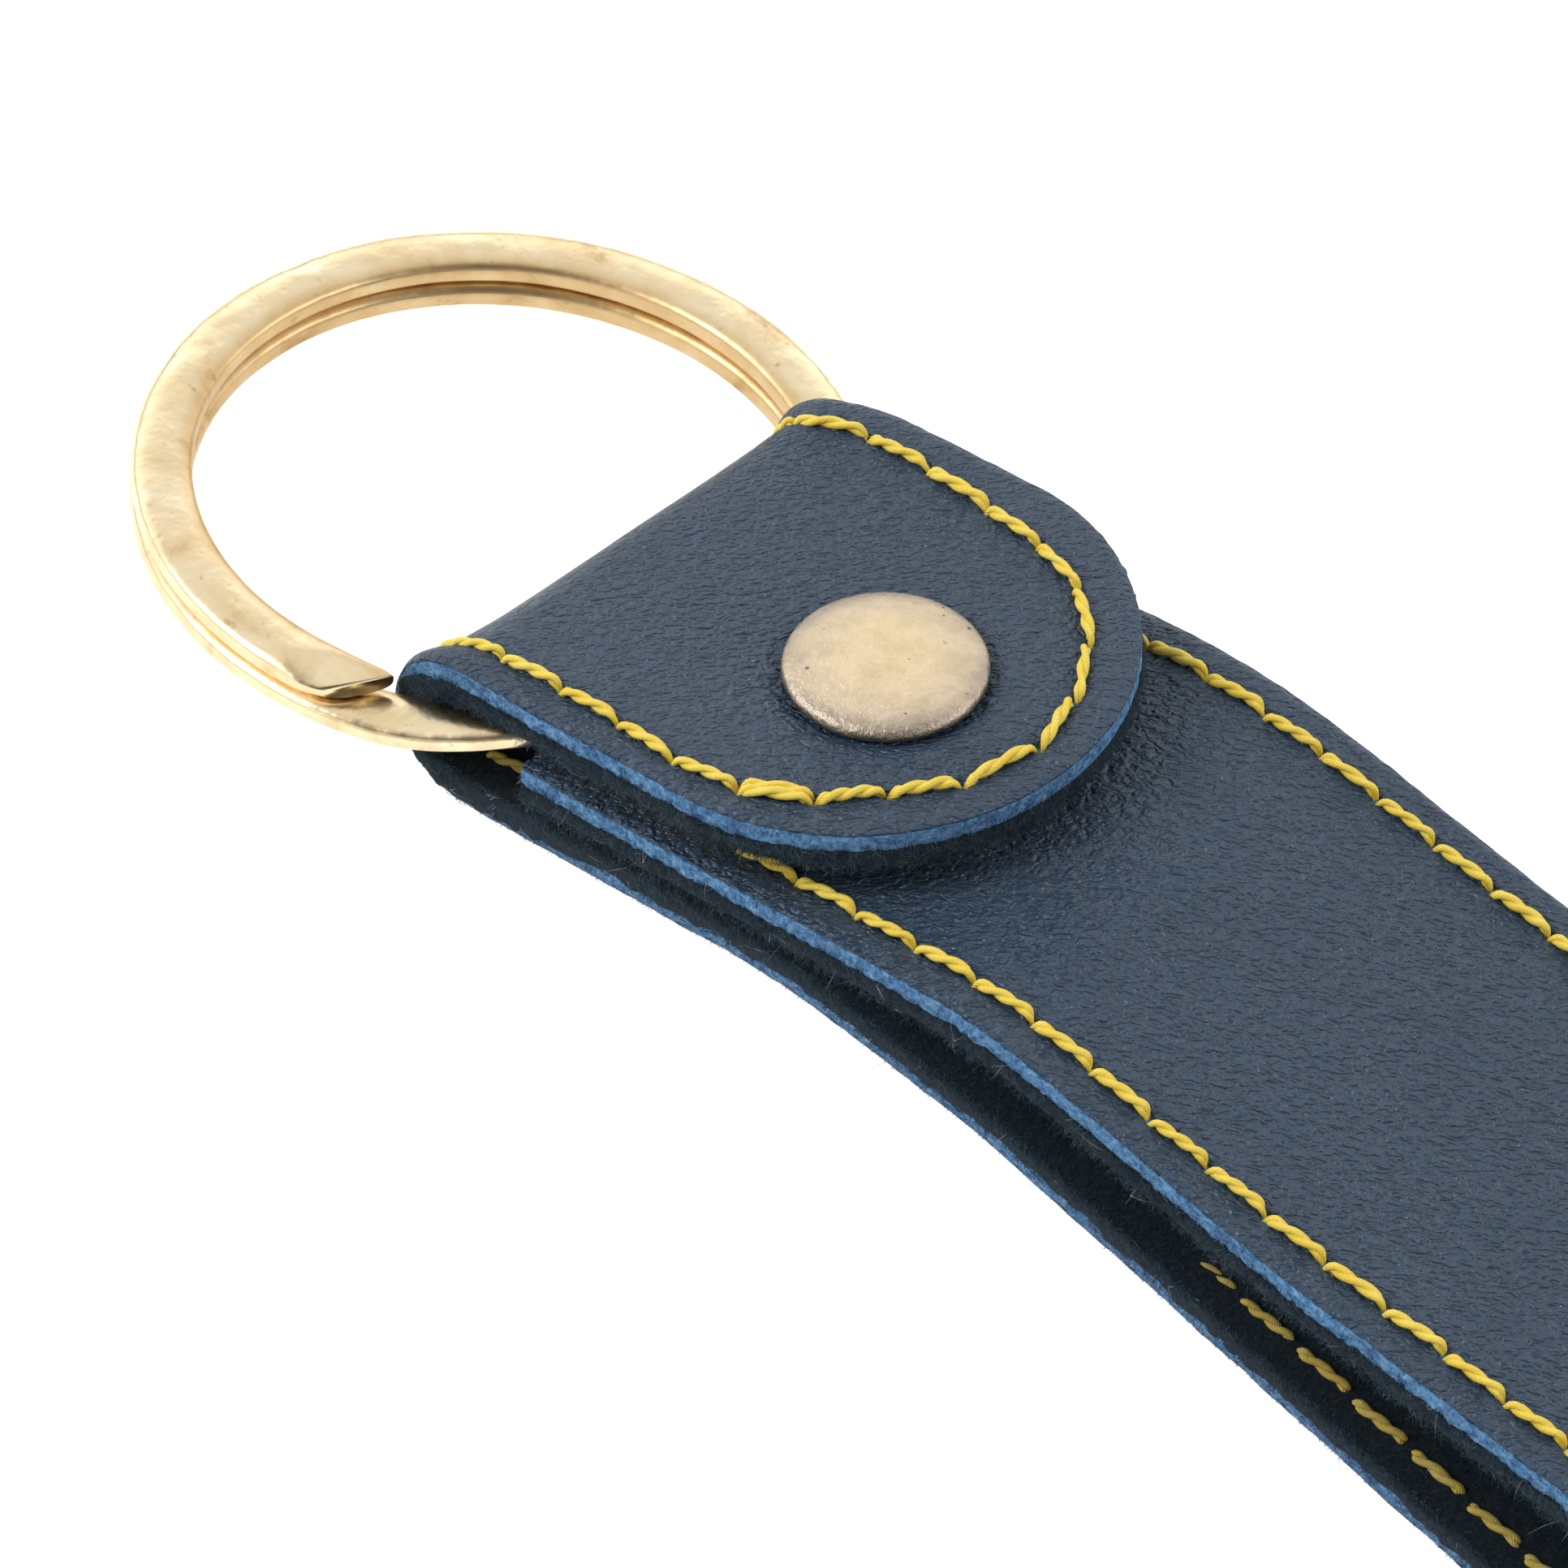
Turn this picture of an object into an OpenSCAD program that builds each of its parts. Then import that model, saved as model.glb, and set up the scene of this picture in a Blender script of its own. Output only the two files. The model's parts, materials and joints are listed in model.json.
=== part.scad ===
// Wristlet keychain: a stitched strap folded round a split ring and closed by a press stud.
// The folded end is drawn in its own frame: x runs from the fold's outer face to the flap's
// tip and z is measured down from the flap's outer face. That frame is then tilted, so that
// the ring's tip and the loop both rest on the plane z = 0.

/* [Strap] */
// Width of the strap
strap_w = 24.6; // [18:0.1:32]
// Thickness of the smooth outer skin
facing_t = 0.25; // [0.15:0.05:0.5]
// Thickness of the coloured foam core
foam_t = 0.75; // [0.4:0.05:1.2]
// Thickness of the brushed backing
backing_t = 0.9; // [0.5:0.05:1.4]
// Length of the loop, from the stud's axis to the far bend
loop_len = 125; // [85:1:170]
// Outer radius of the loop's far bend
far_bend_r = 9; // [7:0.5:14]

/* [Folded end] */
// Length of the flap, from the fold's outer face to its tip
flap_len = 27.6; // [25:0.1:34]
// Length of the flap's rounded end
flap_round = 11.5; // [8:0.1:13]
// Outer radius of the fold's two corners
fold_r = 2.7; // [2.2:0.1:3.5]
// Distance from the fold's outer face to the line where the flap starts to lift
hinge_x = 5.6; // [5:0.1:8]
// Distance from the fold's outer face to the loop's tucked-in end
tuck_x = 7.3; // [6.6:0.1:9]
// Tilt of the folded end above the table
rest_tilt = 12.5; // [9:0.5:14]

/* [Stitching] */
// Distance from the strap's edge to the middle of the seam
seam_margin = 1.84; // [1.2:0.02:3]
// Diameter of the sewing thread
thread_d = 0.65; // [0.4:0.05:0.9]
// Depth to which the thread is pulled into each face
thread_bed = 0.2; // [0.1:0.01:0.24]

/* [Split ring] */
// How much wider the ring is inside than the strap
ring_slack = 2.6; // [1.6:0.1:6]
// Width of the ring's wire, seen from above
wire_w = 2.4; // [1.6:0.1:3]
// Thickness of one turn of the wire
wire_t = 1.4; // [0.9:0.05:1.4]
// Tilt of the ring from the folded end
ring_tilt = 4.2; // [2:0.1:5]
// Roll of the ring about the strap's length
ring_roll = -2.3; // [-2.5:0.1:2.5]
// How far the ring rides above the middle of the fold's tunnel
ring_ride = 0.25; // [0:0.01:0.4]
// Depth to which the ring beds into the fold's soft backing
ring_press = 0.2; // [0:0.05:0.4]

/* [Press stud] */
// Distance from the fold's outer face to the stud's axis
snap_x = 18.05; // [16.5:0.05:20]
// Sideways offset of the stud's axis
snap_y = -1; // [-2:0.1:2]
// Diameter of the domed cap
cap_d = 9; // [7:0.1:11]
// Rise of the cap's dome above its rim
cap_rise = 0.6; // [0.3:0.05:1.2]
// Diameter of the socket and of the stud's flange
socket_d = 8.2; // [7:0.1:9]
// Diameter of the stud's head
stud_d = 3.4; // [3:0.1:4]
// Gap between the flap and the loop's tucked-in end
snap_gap = 1.65; // [1.5:0.05:2]
// Gap between the loop's tucked-in end and the run below it
run_gap = 0.5; // [0.3:0.05:1]

/* [Clearances] */
// Room round the ring where it beds into the backing
ring_room = 0.12; // [0.1:0.01:0.3]
// Room round the ring where the tucked-in end is cut away
relief_gap = 0.4; // [0.3:0.05:1]
// Play round the stud's head inside the socket
stud_play = 0.4; // [0.3:0.05:0.6]
// Gap between the stud's flange and the socket
seat_gap = 0.3; // [0.2:0.05:0.5]
// Play round each post in its hole
post_play = 0.05; // [0.02:0.01:0.1]
// Width of the joint line between the flap and the fold
hinge_gap = 0.1; // [0.05:0.01:0.2]

/* [Hidden] */

navy = [0.13, 0.19, 0.27];
blue = [0.22, 0.45, 0.66];
charcoal = [0.08, 0.10, 0.12];
yellow = [0.90, 0.76, 0.16];
gold = [0.85, 0.70, 0.45];
antique_brass = [0.62, 0.54, 0.40];
steel = [0.70, 0.70, 0.70];

eps = 0.01;
round_fn = 96;

// The laminate, as distances inwards from its outer face
laminate_t = facing_t + foam_t + backing_t;
foam_in = facing_t + foam_t;

// Heights of the stack in the folded end
tuck_z = -(laminate_t + snap_gap);
lower_z = -(3 * laminate_t + snap_gap + run_gap);
tunnel_top = -laminate_t;
tunnel_floor = lower_z + laminate_t;

// The ring, which lies in the tunnel that the fold makes
ring_ir = (strap_w + ring_slack) / 2;
ring_or = ring_ir + wire_w;
coil_gap = 0.1;
ring_t = 2 * wire_t + coil_gap;
ring_cx = laminate_t - ring_press - sqrt(pow(ring_ir, 2) - pow(strap_w / 2, 2));
tunnel_mid_x = (laminate_t + ring_cx + ring_or) / 2;
ring_cz = (tunnel_top + tunnel_floor) / 2 + ring_ride + (tunnel_mid_x - ring_cx) * tan(ring_tilt);
ring_slope = rest_tilt - ring_tilt;

// The stud stays clear of the ring's tip on a wider strap
stud_x = max(snap_x, ring_cx + ring_or + 2 * ring_room + socket_d / 2);

// Where the upper turn is cut, and where the wire climbs from one turn to the other
ring_cut = 283;
climb_start = 288;
climb_end = 325;
wire_chamfer = 0.3;

// The folded end is lifted until the ring's lowest corner is at z = 0
function ring_reach(along) = ring_or * sqrt(1 - pow(along, 2)) + ring_t / 2 * abs(along);
lift = ring_reach(cos(ring_slope) * cos(ring_roll))
    - ring_cx * sin(rest_tilt) - ring_cz * cos(rest_tilt);
ring_left = ring_cx * cos(rest_tilt) - ring_cz * sin(rest_tilt)
    - ring_reach(sin(ring_slope) * cos(ring_roll));
loop_right = stud_x * cos(rest_tilt) + loop_len;
shift_x = -(ring_left + loop_right) / 2;

// A point of the folded end, as it lies on the table
function laid(p) = [
    p[0] * cos(rest_tilt) - p[1] * sin(rest_tilt) + shift_x,
    p[0] * sin(rest_tilt) + p[1] * cos(rest_tilt) + lift
];

// The press stud's own sizes
post_r = 1.4;
rear_post_r = 1.15;
post_wall = 0.5;
metal_t = 0.3;
web_t = 0.2;
rear_flange_r = 3.5;
cap_skirt = 0.35;
stud_r = stud_d / 2;
socket_r = socket_d / 2;
bore_r = stud_r + stud_play;
socket_low = tuck_z + metal_t + seat_gap;
head_top = tunnel_top - web_t * 2 - seat_gap;
spring_r = 0.11;
groove_deep = 0.35;
groove_h = 0.26;
groove_low = socket_low + 0.07;

// The lower run: flat under the stud, level for a way, then down to the table
lower_flat_end = stud_x + rear_flange_r + 0.05;
first_bend_r = 20;
level_len = 7;
drop_bend_r = 30;
drop_angle = 7.5;
landing_r = 60;
lower_start = laid([lower_flat_end, lower_z]);
drop_len = (lower_start[1] + first_bend_r * (1 - cos(rest_tilt))
    - (drop_bend_r + landing_r) * (1 - cos(drop_angle))) / sin(drop_angle);
landed_x = lower_start[0] + first_bend_r * sin(rest_tilt) + level_len
    + (drop_bend_r + landing_r) * sin(drop_angle) + drop_len * cos(drop_angle);
far_x = loop_right + shift_x - far_bend_r;

// The upper run, worked out from its tucked-in end
tuck_len = flap_len + 1 - tuck_x;
upper_bend_r = 25;
tuck_end = laid([tuck_x, tuck_z]);
upper_z = tuck_end[1] + tuck_len * sin(rest_tilt) + upper_bend_r * (1 - cos(rest_tilt));
upper_x = tuck_end[0] + tuck_len * cos(rest_tilt) + upper_bend_r * sin(rest_tilt);
swell_r = 32;
swell_angle = acos(1 - (2 * far_bend_r - upper_z) / (2 * swell_r));
swell_len = 2 * swell_r * sin(swell_angle);

// The strap's outer face, from the hinge line to the tucked-in end, as [length, radius, turn]
strap_steps = [
    [hinge_x - hinge_gap / 2 - fold_r, 0, 0],
    [0, fold_r, 90],
    [-lower_z - 2 * fold_r, 0, 0],
    [0, fold_r, 90],
    [lower_flat_end - fold_r, 0, 0],
    [0, first_bend_r, -rest_tilt],
    [level_len, 0, 0],
    [0, drop_bend_r, -drop_angle],
    [drop_len, 0, 0],
    [0, landing_r, drop_angle],
    [far_x - landed_x, 0, 0],
    [0, far_bend_r, 180],
    [0, swell_r, swell_angle],
    [0, swell_r, -swell_angle],
    [far_x - swell_len - upper_x, 0, 0],
    [0, upper_bend_r, rest_tilt],
    [tuck_len, 0, 0]
];

// A place on the route is [x, z, heading]; a positive turn goes to the left
function left_of(q, d) = [q[0] - d * sin(q[2]), q[1] + d * cos(q[2])];
function forward(q, d) = [q[0] + d * cos(q[2]), q[1] + d * sin(q[2]), q[2]];
function turned(q, r, a) = let (
    side = sign(a),
    c = left_of(q, side * r),
    h = q[2] + a
) [c[0] + side * r * sin(h), c[1] - side * r * cos(h), h];
function bend_cuts(a) = max(2, ceil(abs(a) / 7.5));
function step_places(q, s) = s[2] == 0
    ? [forward(q, s[0])]
    : [for (k = [1 : bend_cuts(s[2])]) turned(q, s[1], s[2] * k / bend_cuts(s[2]))];
function route(q, steps, i = 0) = i == len(steps)
    ? [q]
    : let (places = step_places(q, steps[i]))
        concat([q], [for (k = [0 : 1 : len(places) - 2]) places[k]],
            route(places[len(places) - 1], steps, i + 1));

hinge_point = laid([hinge_x - hinge_gap / 2, 0]);
strap_route = route([hinge_point[0], hinge_point[1], 180 + rest_tilt], strap_steps);

// The strap's route as a band between two distances in from its outer face
module strap_band(from_d, to_d, width) {
    outer = [for (q = strap_route) left_of(q, from_d)];
    inner = [for (i = [len(strap_route) - 1 : -1 : 0]) left_of(strap_route[i], to_d)];
    rotate([90, 0, 0])
        linear_extrude(height = width, center = true)
            polygon(concat(outer, inner));
}

// Puts a piece of the folded end where it lies on the table
module folded_end() {
    translate([shift_x, 0, lift])
        rotate([0, -rest_tilt, 0])
            children();
}

// Puts a piece of the ring where it lies in the fold
module in_fold() {
    folded_end()
        translate([ring_cx, 0, ring_cz])
            rotate([ring_roll, ring_tilt, 0])
                children();
}

module on_snap_axis(z = 0) {
    translate([stud_x, snap_y, z])
        children();
}

// Room for the ring past the tucked-in end of the loop
module ring_relief() {
    low = tuck_z - laminate_t - run_gap / 2;
    folded_end()
        intersection() {
            translate([ring_cx, 0, low])
                cylinder(r = ring_or + relief_gap, h = laminate_t + run_gap / 2 + 1, $fn = round_fn);
            translate([hinge_x, -strap_w, low - eps])
                cube([flap_len, 2 * strap_w, laminate_t + run_gap + 2]);
        }
}

// Room for the ring where it beds into the backing
module ring_bed() {
    in_fold()
        difference() {
            cylinder(r = ring_or + ring_room, h = ring_t + 2 * ring_room, center = true, $fn = round_fn);
            cylinder(r = ring_ir - ring_room, h = ring_t + 1, center = true, $fn = round_fn);
        }
}

// The hole that the stud's rear post passes through
module rear_post_hole() {
    folded_end()
        on_snap_axis(lower_z - 1)
            cylinder(r = rear_post_r + post_play, h = laminate_t * 2 + run_gap + 1.5, $fn = round_fn);
}

module both_seams() {
    for (side = [-1, 1])
        translate([0, side * (strap_w / 2 - seam_margin), 0])
            children();
}

module strap_layer(from_d, to_d) {
    difference() {
        strap_band(from_d, to_d, strap_w);
        ring_relief();
        rear_post_hole();
    }
}

module strap_facing() {
    color(navy)
        difference() {
            strap_layer(0, facing_t);
            both_seams() strap_band(-0.5, thread_bed, thread_d);
        }
}

module strap_foam() {
    color(blue)
        strap_layer(facing_t, foam_in);
}

module strap_backing() {
    color(charcoal)
        difference() {
            strap_layer(foam_in, laminate_t);
            ring_bed();
            both_seams() strap_band(laminate_t - thread_bed, laminate_t + 0.2, thread_d);
        }
}

module strap_outer_thread() {
    color(yellow)
        difference() {
            both_seams() strap_band(0, thread_bed, thread_d);
            ring_relief();
        }
}

module strap_inner_thread() {
    color(yellow)
        difference() {
            both_seams() strap_band(laminate_t - thread_bed, laminate_t, thread_d);
            ring_relief();
            ring_bed();
        }
}

// The flap's outline, set in from its edge
module flap_outline(inset = 0) {
    half_w = strap_w / 2 - inset;
    start_x = hinge_x + hinge_gap / 2;
    round_x = flap_len - flap_round;
    polygon(concat(
        [[start_x, half_w], [start_x, -half_w]],
        [for (a = [-90 : 6 : 90]) [round_x + (flap_round - inset) * cos(a), half_w * sin(a)]]
    ));
}

module flap_seam_outline() {
    difference() {
        flap_outline(seam_margin - thread_d / 2);
        translate([-eps, 0])
            flap_outline(seam_margin + thread_d / 2);
    }
}

module flap_layer(from_d, to_d) {
    folded_end()
        difference() {
            translate([0, 0, -to_d])
                linear_extrude(height = to_d - from_d)
                    flap_outline();
            on_snap_axis(-laminate_t - 1)
                cylinder(r = post_r + post_play, h = laminate_t + 2, $fn = round_fn);
        }
}

module flap_seam(top_z) {
    folded_end()
        translate([0, 0, top_z - thread_bed])
            linear_extrude(height = thread_bed)
                flap_seam_outline();
}

module flap_facing() {
    color(navy)
        difference() {
            flap_layer(0, facing_t);
            folded_end()
                translate([0, 0, -thread_bed])
                    linear_extrude(height = 1)
                        flap_seam_outline();
        }
}

module flap_foam() {
    color(blue)
        flap_layer(facing_t, foam_in);
}

module flap_backing() {
    color(charcoal)
        difference() {
            flap_layer(foam_in, laminate_t);
            ring_bed();
            folded_end()
                translate([0, 0, -laminate_t - 1])
                    linear_extrude(height = 1 + thread_bed)
                        flap_seam_outline();
        }
}

module flap_outer_thread() {
    color(yellow)
        flap_seam(0);
}

module flap_inner_thread() {
    color(yellow)
        difference() {
            flap_seam(-laminate_t + thread_bed);
            ring_bed();
        }
}

// One wire of two turns, which climbs from the lower turn to the upper one past the cut
function climb(a) = let (u = min(1, max(0, (a - climb_start) / (climb_end - climb_start))))
    u * u * (3 - 2 * u);
function wire_mid_z(a) = (climb(a) - 0.5) * (wire_t + coil_gap);
wire_section = let (c = wire_chamfer, w = wire_w, h = wire_t / 2) [
    [0, -h + c], [c, -h], [w - c / 2, -h], [w, -h + c / 2],
    [w, h - c / 2], [w - c / 2, h], [c, h], [0, h - c]
];
wire_from = climb_end + 3 - 360;
wire_to = ring_cut + 360;
wire_cuts = 108;

module split_ring() {
    turns = [for (i = [0 : wire_cuts]) wire_from + (wire_to - wire_from) * i / wire_cuts];
    n = len(wire_section);
    points = [for (a = turns) for (p = wire_section)
        [(ring_ir + p[0]) * cos(a), (ring_ir + p[0]) * sin(a), p[1] + wire_mid_z(a)]];
    sides = [for (i = [0 : wire_cuts - 1]) for (k = [0 : n - 1])
        [i * n + k, (i + 1) * n + k, (i + 1) * n + (k + 1) % n, i * n + (k + 1) % n]];
    first_end = [[for (k = [0 : n - 1]) k]];
    last_end = [[for (k = [n - 1 : -1 : 0]) wire_cuts * n + k]];
    color(gold)
        in_fold()
            polyhedron(points = points, faces = concat(sides, first_end, last_end), convexity = 6);
}

// A low dome with its flat side at z = 0, as a solid of revolution of an arc
module dome(r, rise) {
    ball_r = (r * r + rise * rise) / (2 * rise);
    edge = asin(r / ball_r);
    cuts = 12;
    arc = [for (i = [0 : cuts]) let (a = edge * (1 - i / cuts))
        [ball_r * sin(a), ball_r * cos(a) - ball_r + rise]];
    rotate_extrude($fn = round_fn)
        polygon(concat([[0, -eps], [r, -eps]], arc));
}

module snap_cap() {
    cap_r = cap_d / 2;
    color(antique_brass)
        folded_end()
            on_snap_axis()
                difference() {
                    union() {
                        cylinder(r = cap_r, h = cap_skirt, $fn = round_fn);
                        translate([0, 0, cap_skirt])
                            dome(cap_r, cap_rise);
                    }
                    translate([0, 0, -eps])
                        cylinder(r = cap_r - metal_t, h = cap_skirt + eps, $fn = round_fn);
                }
}

module cap_post() {
    tail = -tunnel_top + 2 * web_t;
    color(steel)
        folded_end()
            on_snap_axis()
                difference() {
                    union() {
                        cylinder(r = cap_d / 2 - metal_t - post_play, h = metal_t, $fn = round_fn);
                        translate([0, 0, -tail])
                            cylinder(r = post_r, h = tail + eps, $fn = round_fn);
                        translate([0, 0, -tail])
                            cylinder(r = post_r + web_t, h = web_t, $fn = round_fn);
                    }
                    translate([0, 0, -tail - eps])
                        cylinder(r = post_r - post_wall, h = tail, $fn = round_fn);
                }
}

module snap_socket() {
    web_z = tunnel_top - web_t;
    color(antique_brass)
        folded_end()
            on_snap_axis()
                difference() {
                    translate([0, 0, socket_low])
                        cylinder(r = socket_r, h = tunnel_top - socket_low, $fn = round_fn);
                    translate([0, 0, socket_low - eps])
                        cylinder(r = bore_r, h = web_z - socket_low + eps, $fn = round_fn);
                    translate([0, 0, groove_low])
                        cylinder(r = bore_r + groove_deep, h = groove_h, $fn = round_fn);
                    translate([0, 0, web_z - eps])
                        cylinder(r = post_r + post_play, h = web_t + 2 * eps, $fn = round_fn);
                }
}

module socket_spring() {
    color(steel)
        folded_end()
            on_snap_axis(groove_low + groove_h / 2)
                rotate([0, 0, 15])
                    rotate_extrude(angle = 330, $fn = round_fn)
                        translate([bore_r + spring_r, 0])
                            circle(r = spring_r, $fn = 24);
}

module snap_stud() {
    neck_r = stud_r - 0.2;
    head_low = head_top - 0.35;
    color(antique_brass)
        folded_end()
            on_snap_axis()
                difference() {
                    union() {
                        translate([0, 0, tuck_z])
                            cylinder(r = socket_r, h = metal_t, $fn = round_fn);
                        translate([0, 0, tuck_z + metal_t - eps])
                            cylinder(r = neck_r, h = head_low - tuck_z - metal_t + 2 * eps, $fn = round_fn);
                        translate([0, 0, head_low])
                            cylinder(r = stud_r, h = head_top - head_low, $fn = round_fn);
                    }
                    translate([0, 0, tuck_z - eps])
                        cylinder(r = rear_post_r + post_play, h = head_top - tuck_z - web_t, $fn = round_fn);
                }
}

module rear_post() {
    top = head_top - web_t - 0.1;
    color(antique_brass)
        folded_end()
            on_snap_axis()
                difference() {
                    union() {
                        translate([0, 0, lower_z - metal_t])
                            cylinder(r = rear_flange_r, h = metal_t, $fn = round_fn);
                        translate([0, 0, lower_z - eps])
                            cylinder(r = rear_post_r, h = top - lower_z + eps, $fn = round_fn);
                    }
                    translate([0, 0, lower_z])
                        cylinder(r = rear_post_r - post_wall, h = top - lower_z + eps, $fn = round_fn);
                }
}

strap_facing();
strap_foam();
strap_backing();
strap_outer_thread();
strap_inner_thread();
flap_facing();
flap_foam();
flap_backing();
flap_outer_thread();
flap_inner_thread();
split_ring();
snap_cap();
cap_post();
snap_socket();
socket_spring();
snap_stud();
rear_post();
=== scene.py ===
import json
import math

import bpy
import numpy as np
from mathutils import Matrix, Vector


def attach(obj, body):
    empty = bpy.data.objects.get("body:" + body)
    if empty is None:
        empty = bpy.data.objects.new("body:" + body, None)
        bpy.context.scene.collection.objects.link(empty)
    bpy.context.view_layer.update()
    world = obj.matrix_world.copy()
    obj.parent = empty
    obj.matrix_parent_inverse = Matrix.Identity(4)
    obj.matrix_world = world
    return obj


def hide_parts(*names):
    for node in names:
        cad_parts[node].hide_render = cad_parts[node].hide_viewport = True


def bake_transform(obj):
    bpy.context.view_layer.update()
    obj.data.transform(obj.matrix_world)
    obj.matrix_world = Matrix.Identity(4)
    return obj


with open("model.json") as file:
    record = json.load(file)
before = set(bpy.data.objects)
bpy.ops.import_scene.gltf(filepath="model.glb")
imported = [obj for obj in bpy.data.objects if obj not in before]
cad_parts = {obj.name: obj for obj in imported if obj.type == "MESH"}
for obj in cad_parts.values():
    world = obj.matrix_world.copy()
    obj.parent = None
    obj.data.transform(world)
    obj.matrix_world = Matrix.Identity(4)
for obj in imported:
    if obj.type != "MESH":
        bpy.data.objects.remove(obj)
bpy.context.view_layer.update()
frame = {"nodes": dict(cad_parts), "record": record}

# Lengths below are in millimetres; meshes are turned into metres when they are made.
MM = 0.001

# ---------------------------------------------------------------- the strap's sizes
strap_w = 24.6
half_w = strap_w / 2
laminate_t = 1.9
flap_len = 27.6
flap_round = 11.5
hinge_x = 5.6
tuck_x = 7.3
rest_tilt = math.radians(12.5)
snap_x = 18.05
snap_y = -1.0
lower_z = -7.85
tuck_z = -3.55
seam_in = 1.84
stitch_len = 3.19
ring_inner = 13.6
wire_w = 2.4
wire_t = 1.4
coil_gap = 0.1
far_bend_r = 9.0
loop_len = 125.0

# Where the folded end lies: its x runs from the fold's outer face to the flap's tip
joints = {j["name"]: j for j in frame["record"]["behaviour"]["joints"]}
hinge = [v / MM for v in joints["flap_lift"]["pos_m"]]
shift_x = hinge[0] - hinge_x * math.cos(rest_tilt)
lift = hinge[2] - hinge_x * math.sin(rest_tilt)
ring_centre = Vector(joints["ring_turn"]["pos_m"])
ring_axis = Vector(joints["ring_turn"]["axis"]).normalized()


def laid(x, z):
    """A point of the folded end as it lies on the table."""
    c, s = math.cos(rest_tilt), math.sin(rest_tilt)
    return x * c - z * s + shift_x, x * s + z * c + lift


def unlaid(x, z):
    c, s = math.cos(rest_tilt), math.sin(rest_tilt)
    x, z = x - shift_x, z - lift
    return x * c + z * s, -x * s + z * c


# ---------------------------------------------------------------- noise
def lattice(ix, iy, iz, seed):
    h = (ix * 374761393 + iy * 668265263 + iz * 1274126177 + seed * 974634777) & 0xFFFFFFFF
    h = ((h ^ (h >> 13)) * 1103515245) & 0xFFFFFFFF
    h = ((h ^ (h >> 15)) * 668265263) & 0xFFFFFFFF
    return ((h ^ (h >> 16)) & 0xFFFF) / 32767.5 - 1


def noise(p, size, seed=0):
    """Smooth noise from -1 to 1 of points p (n, 3), with lumps of about that size."""
    q = np.asarray(p, float) / size
    base = np.floor(q)
    f = q - base
    f = f * f * (3 - 2 * f)
    i = base.astype(np.int64)
    total = 0
    for dx in (0, 1):
        for dy in (0, 1):
            for dz in (0, 1):
                w = (
                    (f[..., 0] if dx else 1 - f[..., 0])
                    * (f[..., 1] if dy else 1 - f[..., 1])
                    * (f[..., 2] if dz else 1 - f[..., 2])
                )
                total = total + w * lattice(i[..., 0] + dx, i[..., 1] + dy, i[..., 2] + dz, seed)
    return total


def noise2(a, b, size, seed=0):
    a, b = np.broadcast_arrays(np.asarray(a, float), np.asarray(b, float))
    return noise(np.stack([a, b, np.zeros_like(a)], -1), size, seed)


def smooth(t):
    t = np.clip(t, 0, 1)
    return t * t * (3 - 2 * t)


# ---------------------------------------------------------------- the strap's route
fold_r = -lower_z / 2
lower_flat_end = snap_x + 1.2
first_bend_r = 20.0
level_len = 7.0
drop_bend_r = 30.0
drop_angle = math.radians(7.5)
landing_r = 60.0
start = laid(lower_flat_end, lower_z)
drop_len = (
    start[1]
    + first_bend_r * (1 - math.cos(rest_tilt))
    - (drop_bend_r + landing_r) * (1 - math.cos(drop_angle))
) / math.sin(drop_angle)
landed_x = (
    start[0]
    + first_bend_r * math.sin(rest_tilt)
    + level_len
    + (drop_bend_r + landing_r) * math.sin(drop_angle)
    + drop_len * math.cos(drop_angle)
)
far_x = snap_x * math.cos(rest_tilt) + loop_len + shift_x - far_bend_r
tuck_len = flap_len + 1 - tuck_x
upper_bend_r = 25.0
tuck = laid(tuck_x, tuck_z)
upper_z = tuck[1] + tuck_len * math.sin(rest_tilt) + upper_bend_r * (1 - math.cos(rest_tilt))
upper_x = tuck[0] + tuck_len * math.cos(rest_tilt) + upper_bend_r * math.sin(rest_tilt)
swell_r = 32.0
swell_angle = math.acos(1 - (2 * far_bend_r - upper_z) / (2 * swell_r))
swell_len = 2 * swell_r * math.sin(swell_angle)
steps = [
    (flap_len - fold_r, 0, 0),
    (0, fold_r, math.pi),
    (lower_flat_end - fold_r, 0, 0),
    (0, first_bend_r, -rest_tilt),
    (level_len, 0, 0),
    (0, drop_bend_r, -drop_angle),
    (drop_len, 0, 0),
    (0, landing_r, drop_angle),
    (far_x - landed_x, 0, 0),
    (0, far_bend_r, math.pi),
    (0, swell_r, swell_angle),
    (0, swell_r, -swell_angle),
    (far_x - swell_len - upper_x, 0, 0),
    (0, upper_bend_r, rest_tilt),
    (tuck_len, 0, 0),
]


def trace(steps, step=0.05):
    x, z = laid(flap_len, 0)
    h = math.pi + rest_tilt
    xs, zs, marks = [x], [z], [0.0]
    for length, radius, turn in steps:
        n = max(2, int(round((length or radius * abs(turn)) / step)))
        k = np.arange(1, n + 1) / n
        if turn == 0:
            xs.extend(x + length * k * math.cos(h))
            zs.extend(z + length * k * math.sin(h))
            marks.append(marks[-1] + length)
        else:
            side = math.copysign(1, turn)
            cx, cz = x - side * radius * math.sin(h), z + side * radius * math.cos(h)
            a = h + turn * k
            xs.extend(cx + side * radius * np.sin(a))
            zs.extend(cz - side * radius * np.cos(a))
            h += turn
            marks.append(marks[-1] + radius * abs(turn))
        x, z = xs[-1], zs[-1]
    return np.array(xs), np.array(zs), marks


route_x, route_z, marks = trace(steps)
route_s = np.concatenate([[0], np.cumsum(np.hypot(np.diff(route_x), np.diff(route_z)))])
even_s = np.linspace(0, route_s[-1], int(route_s[-1] / 0.05))
route_x, route_z = np.interp(even_s, route_s, route_x), np.interp(even_s, route_s, route_z)


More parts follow.
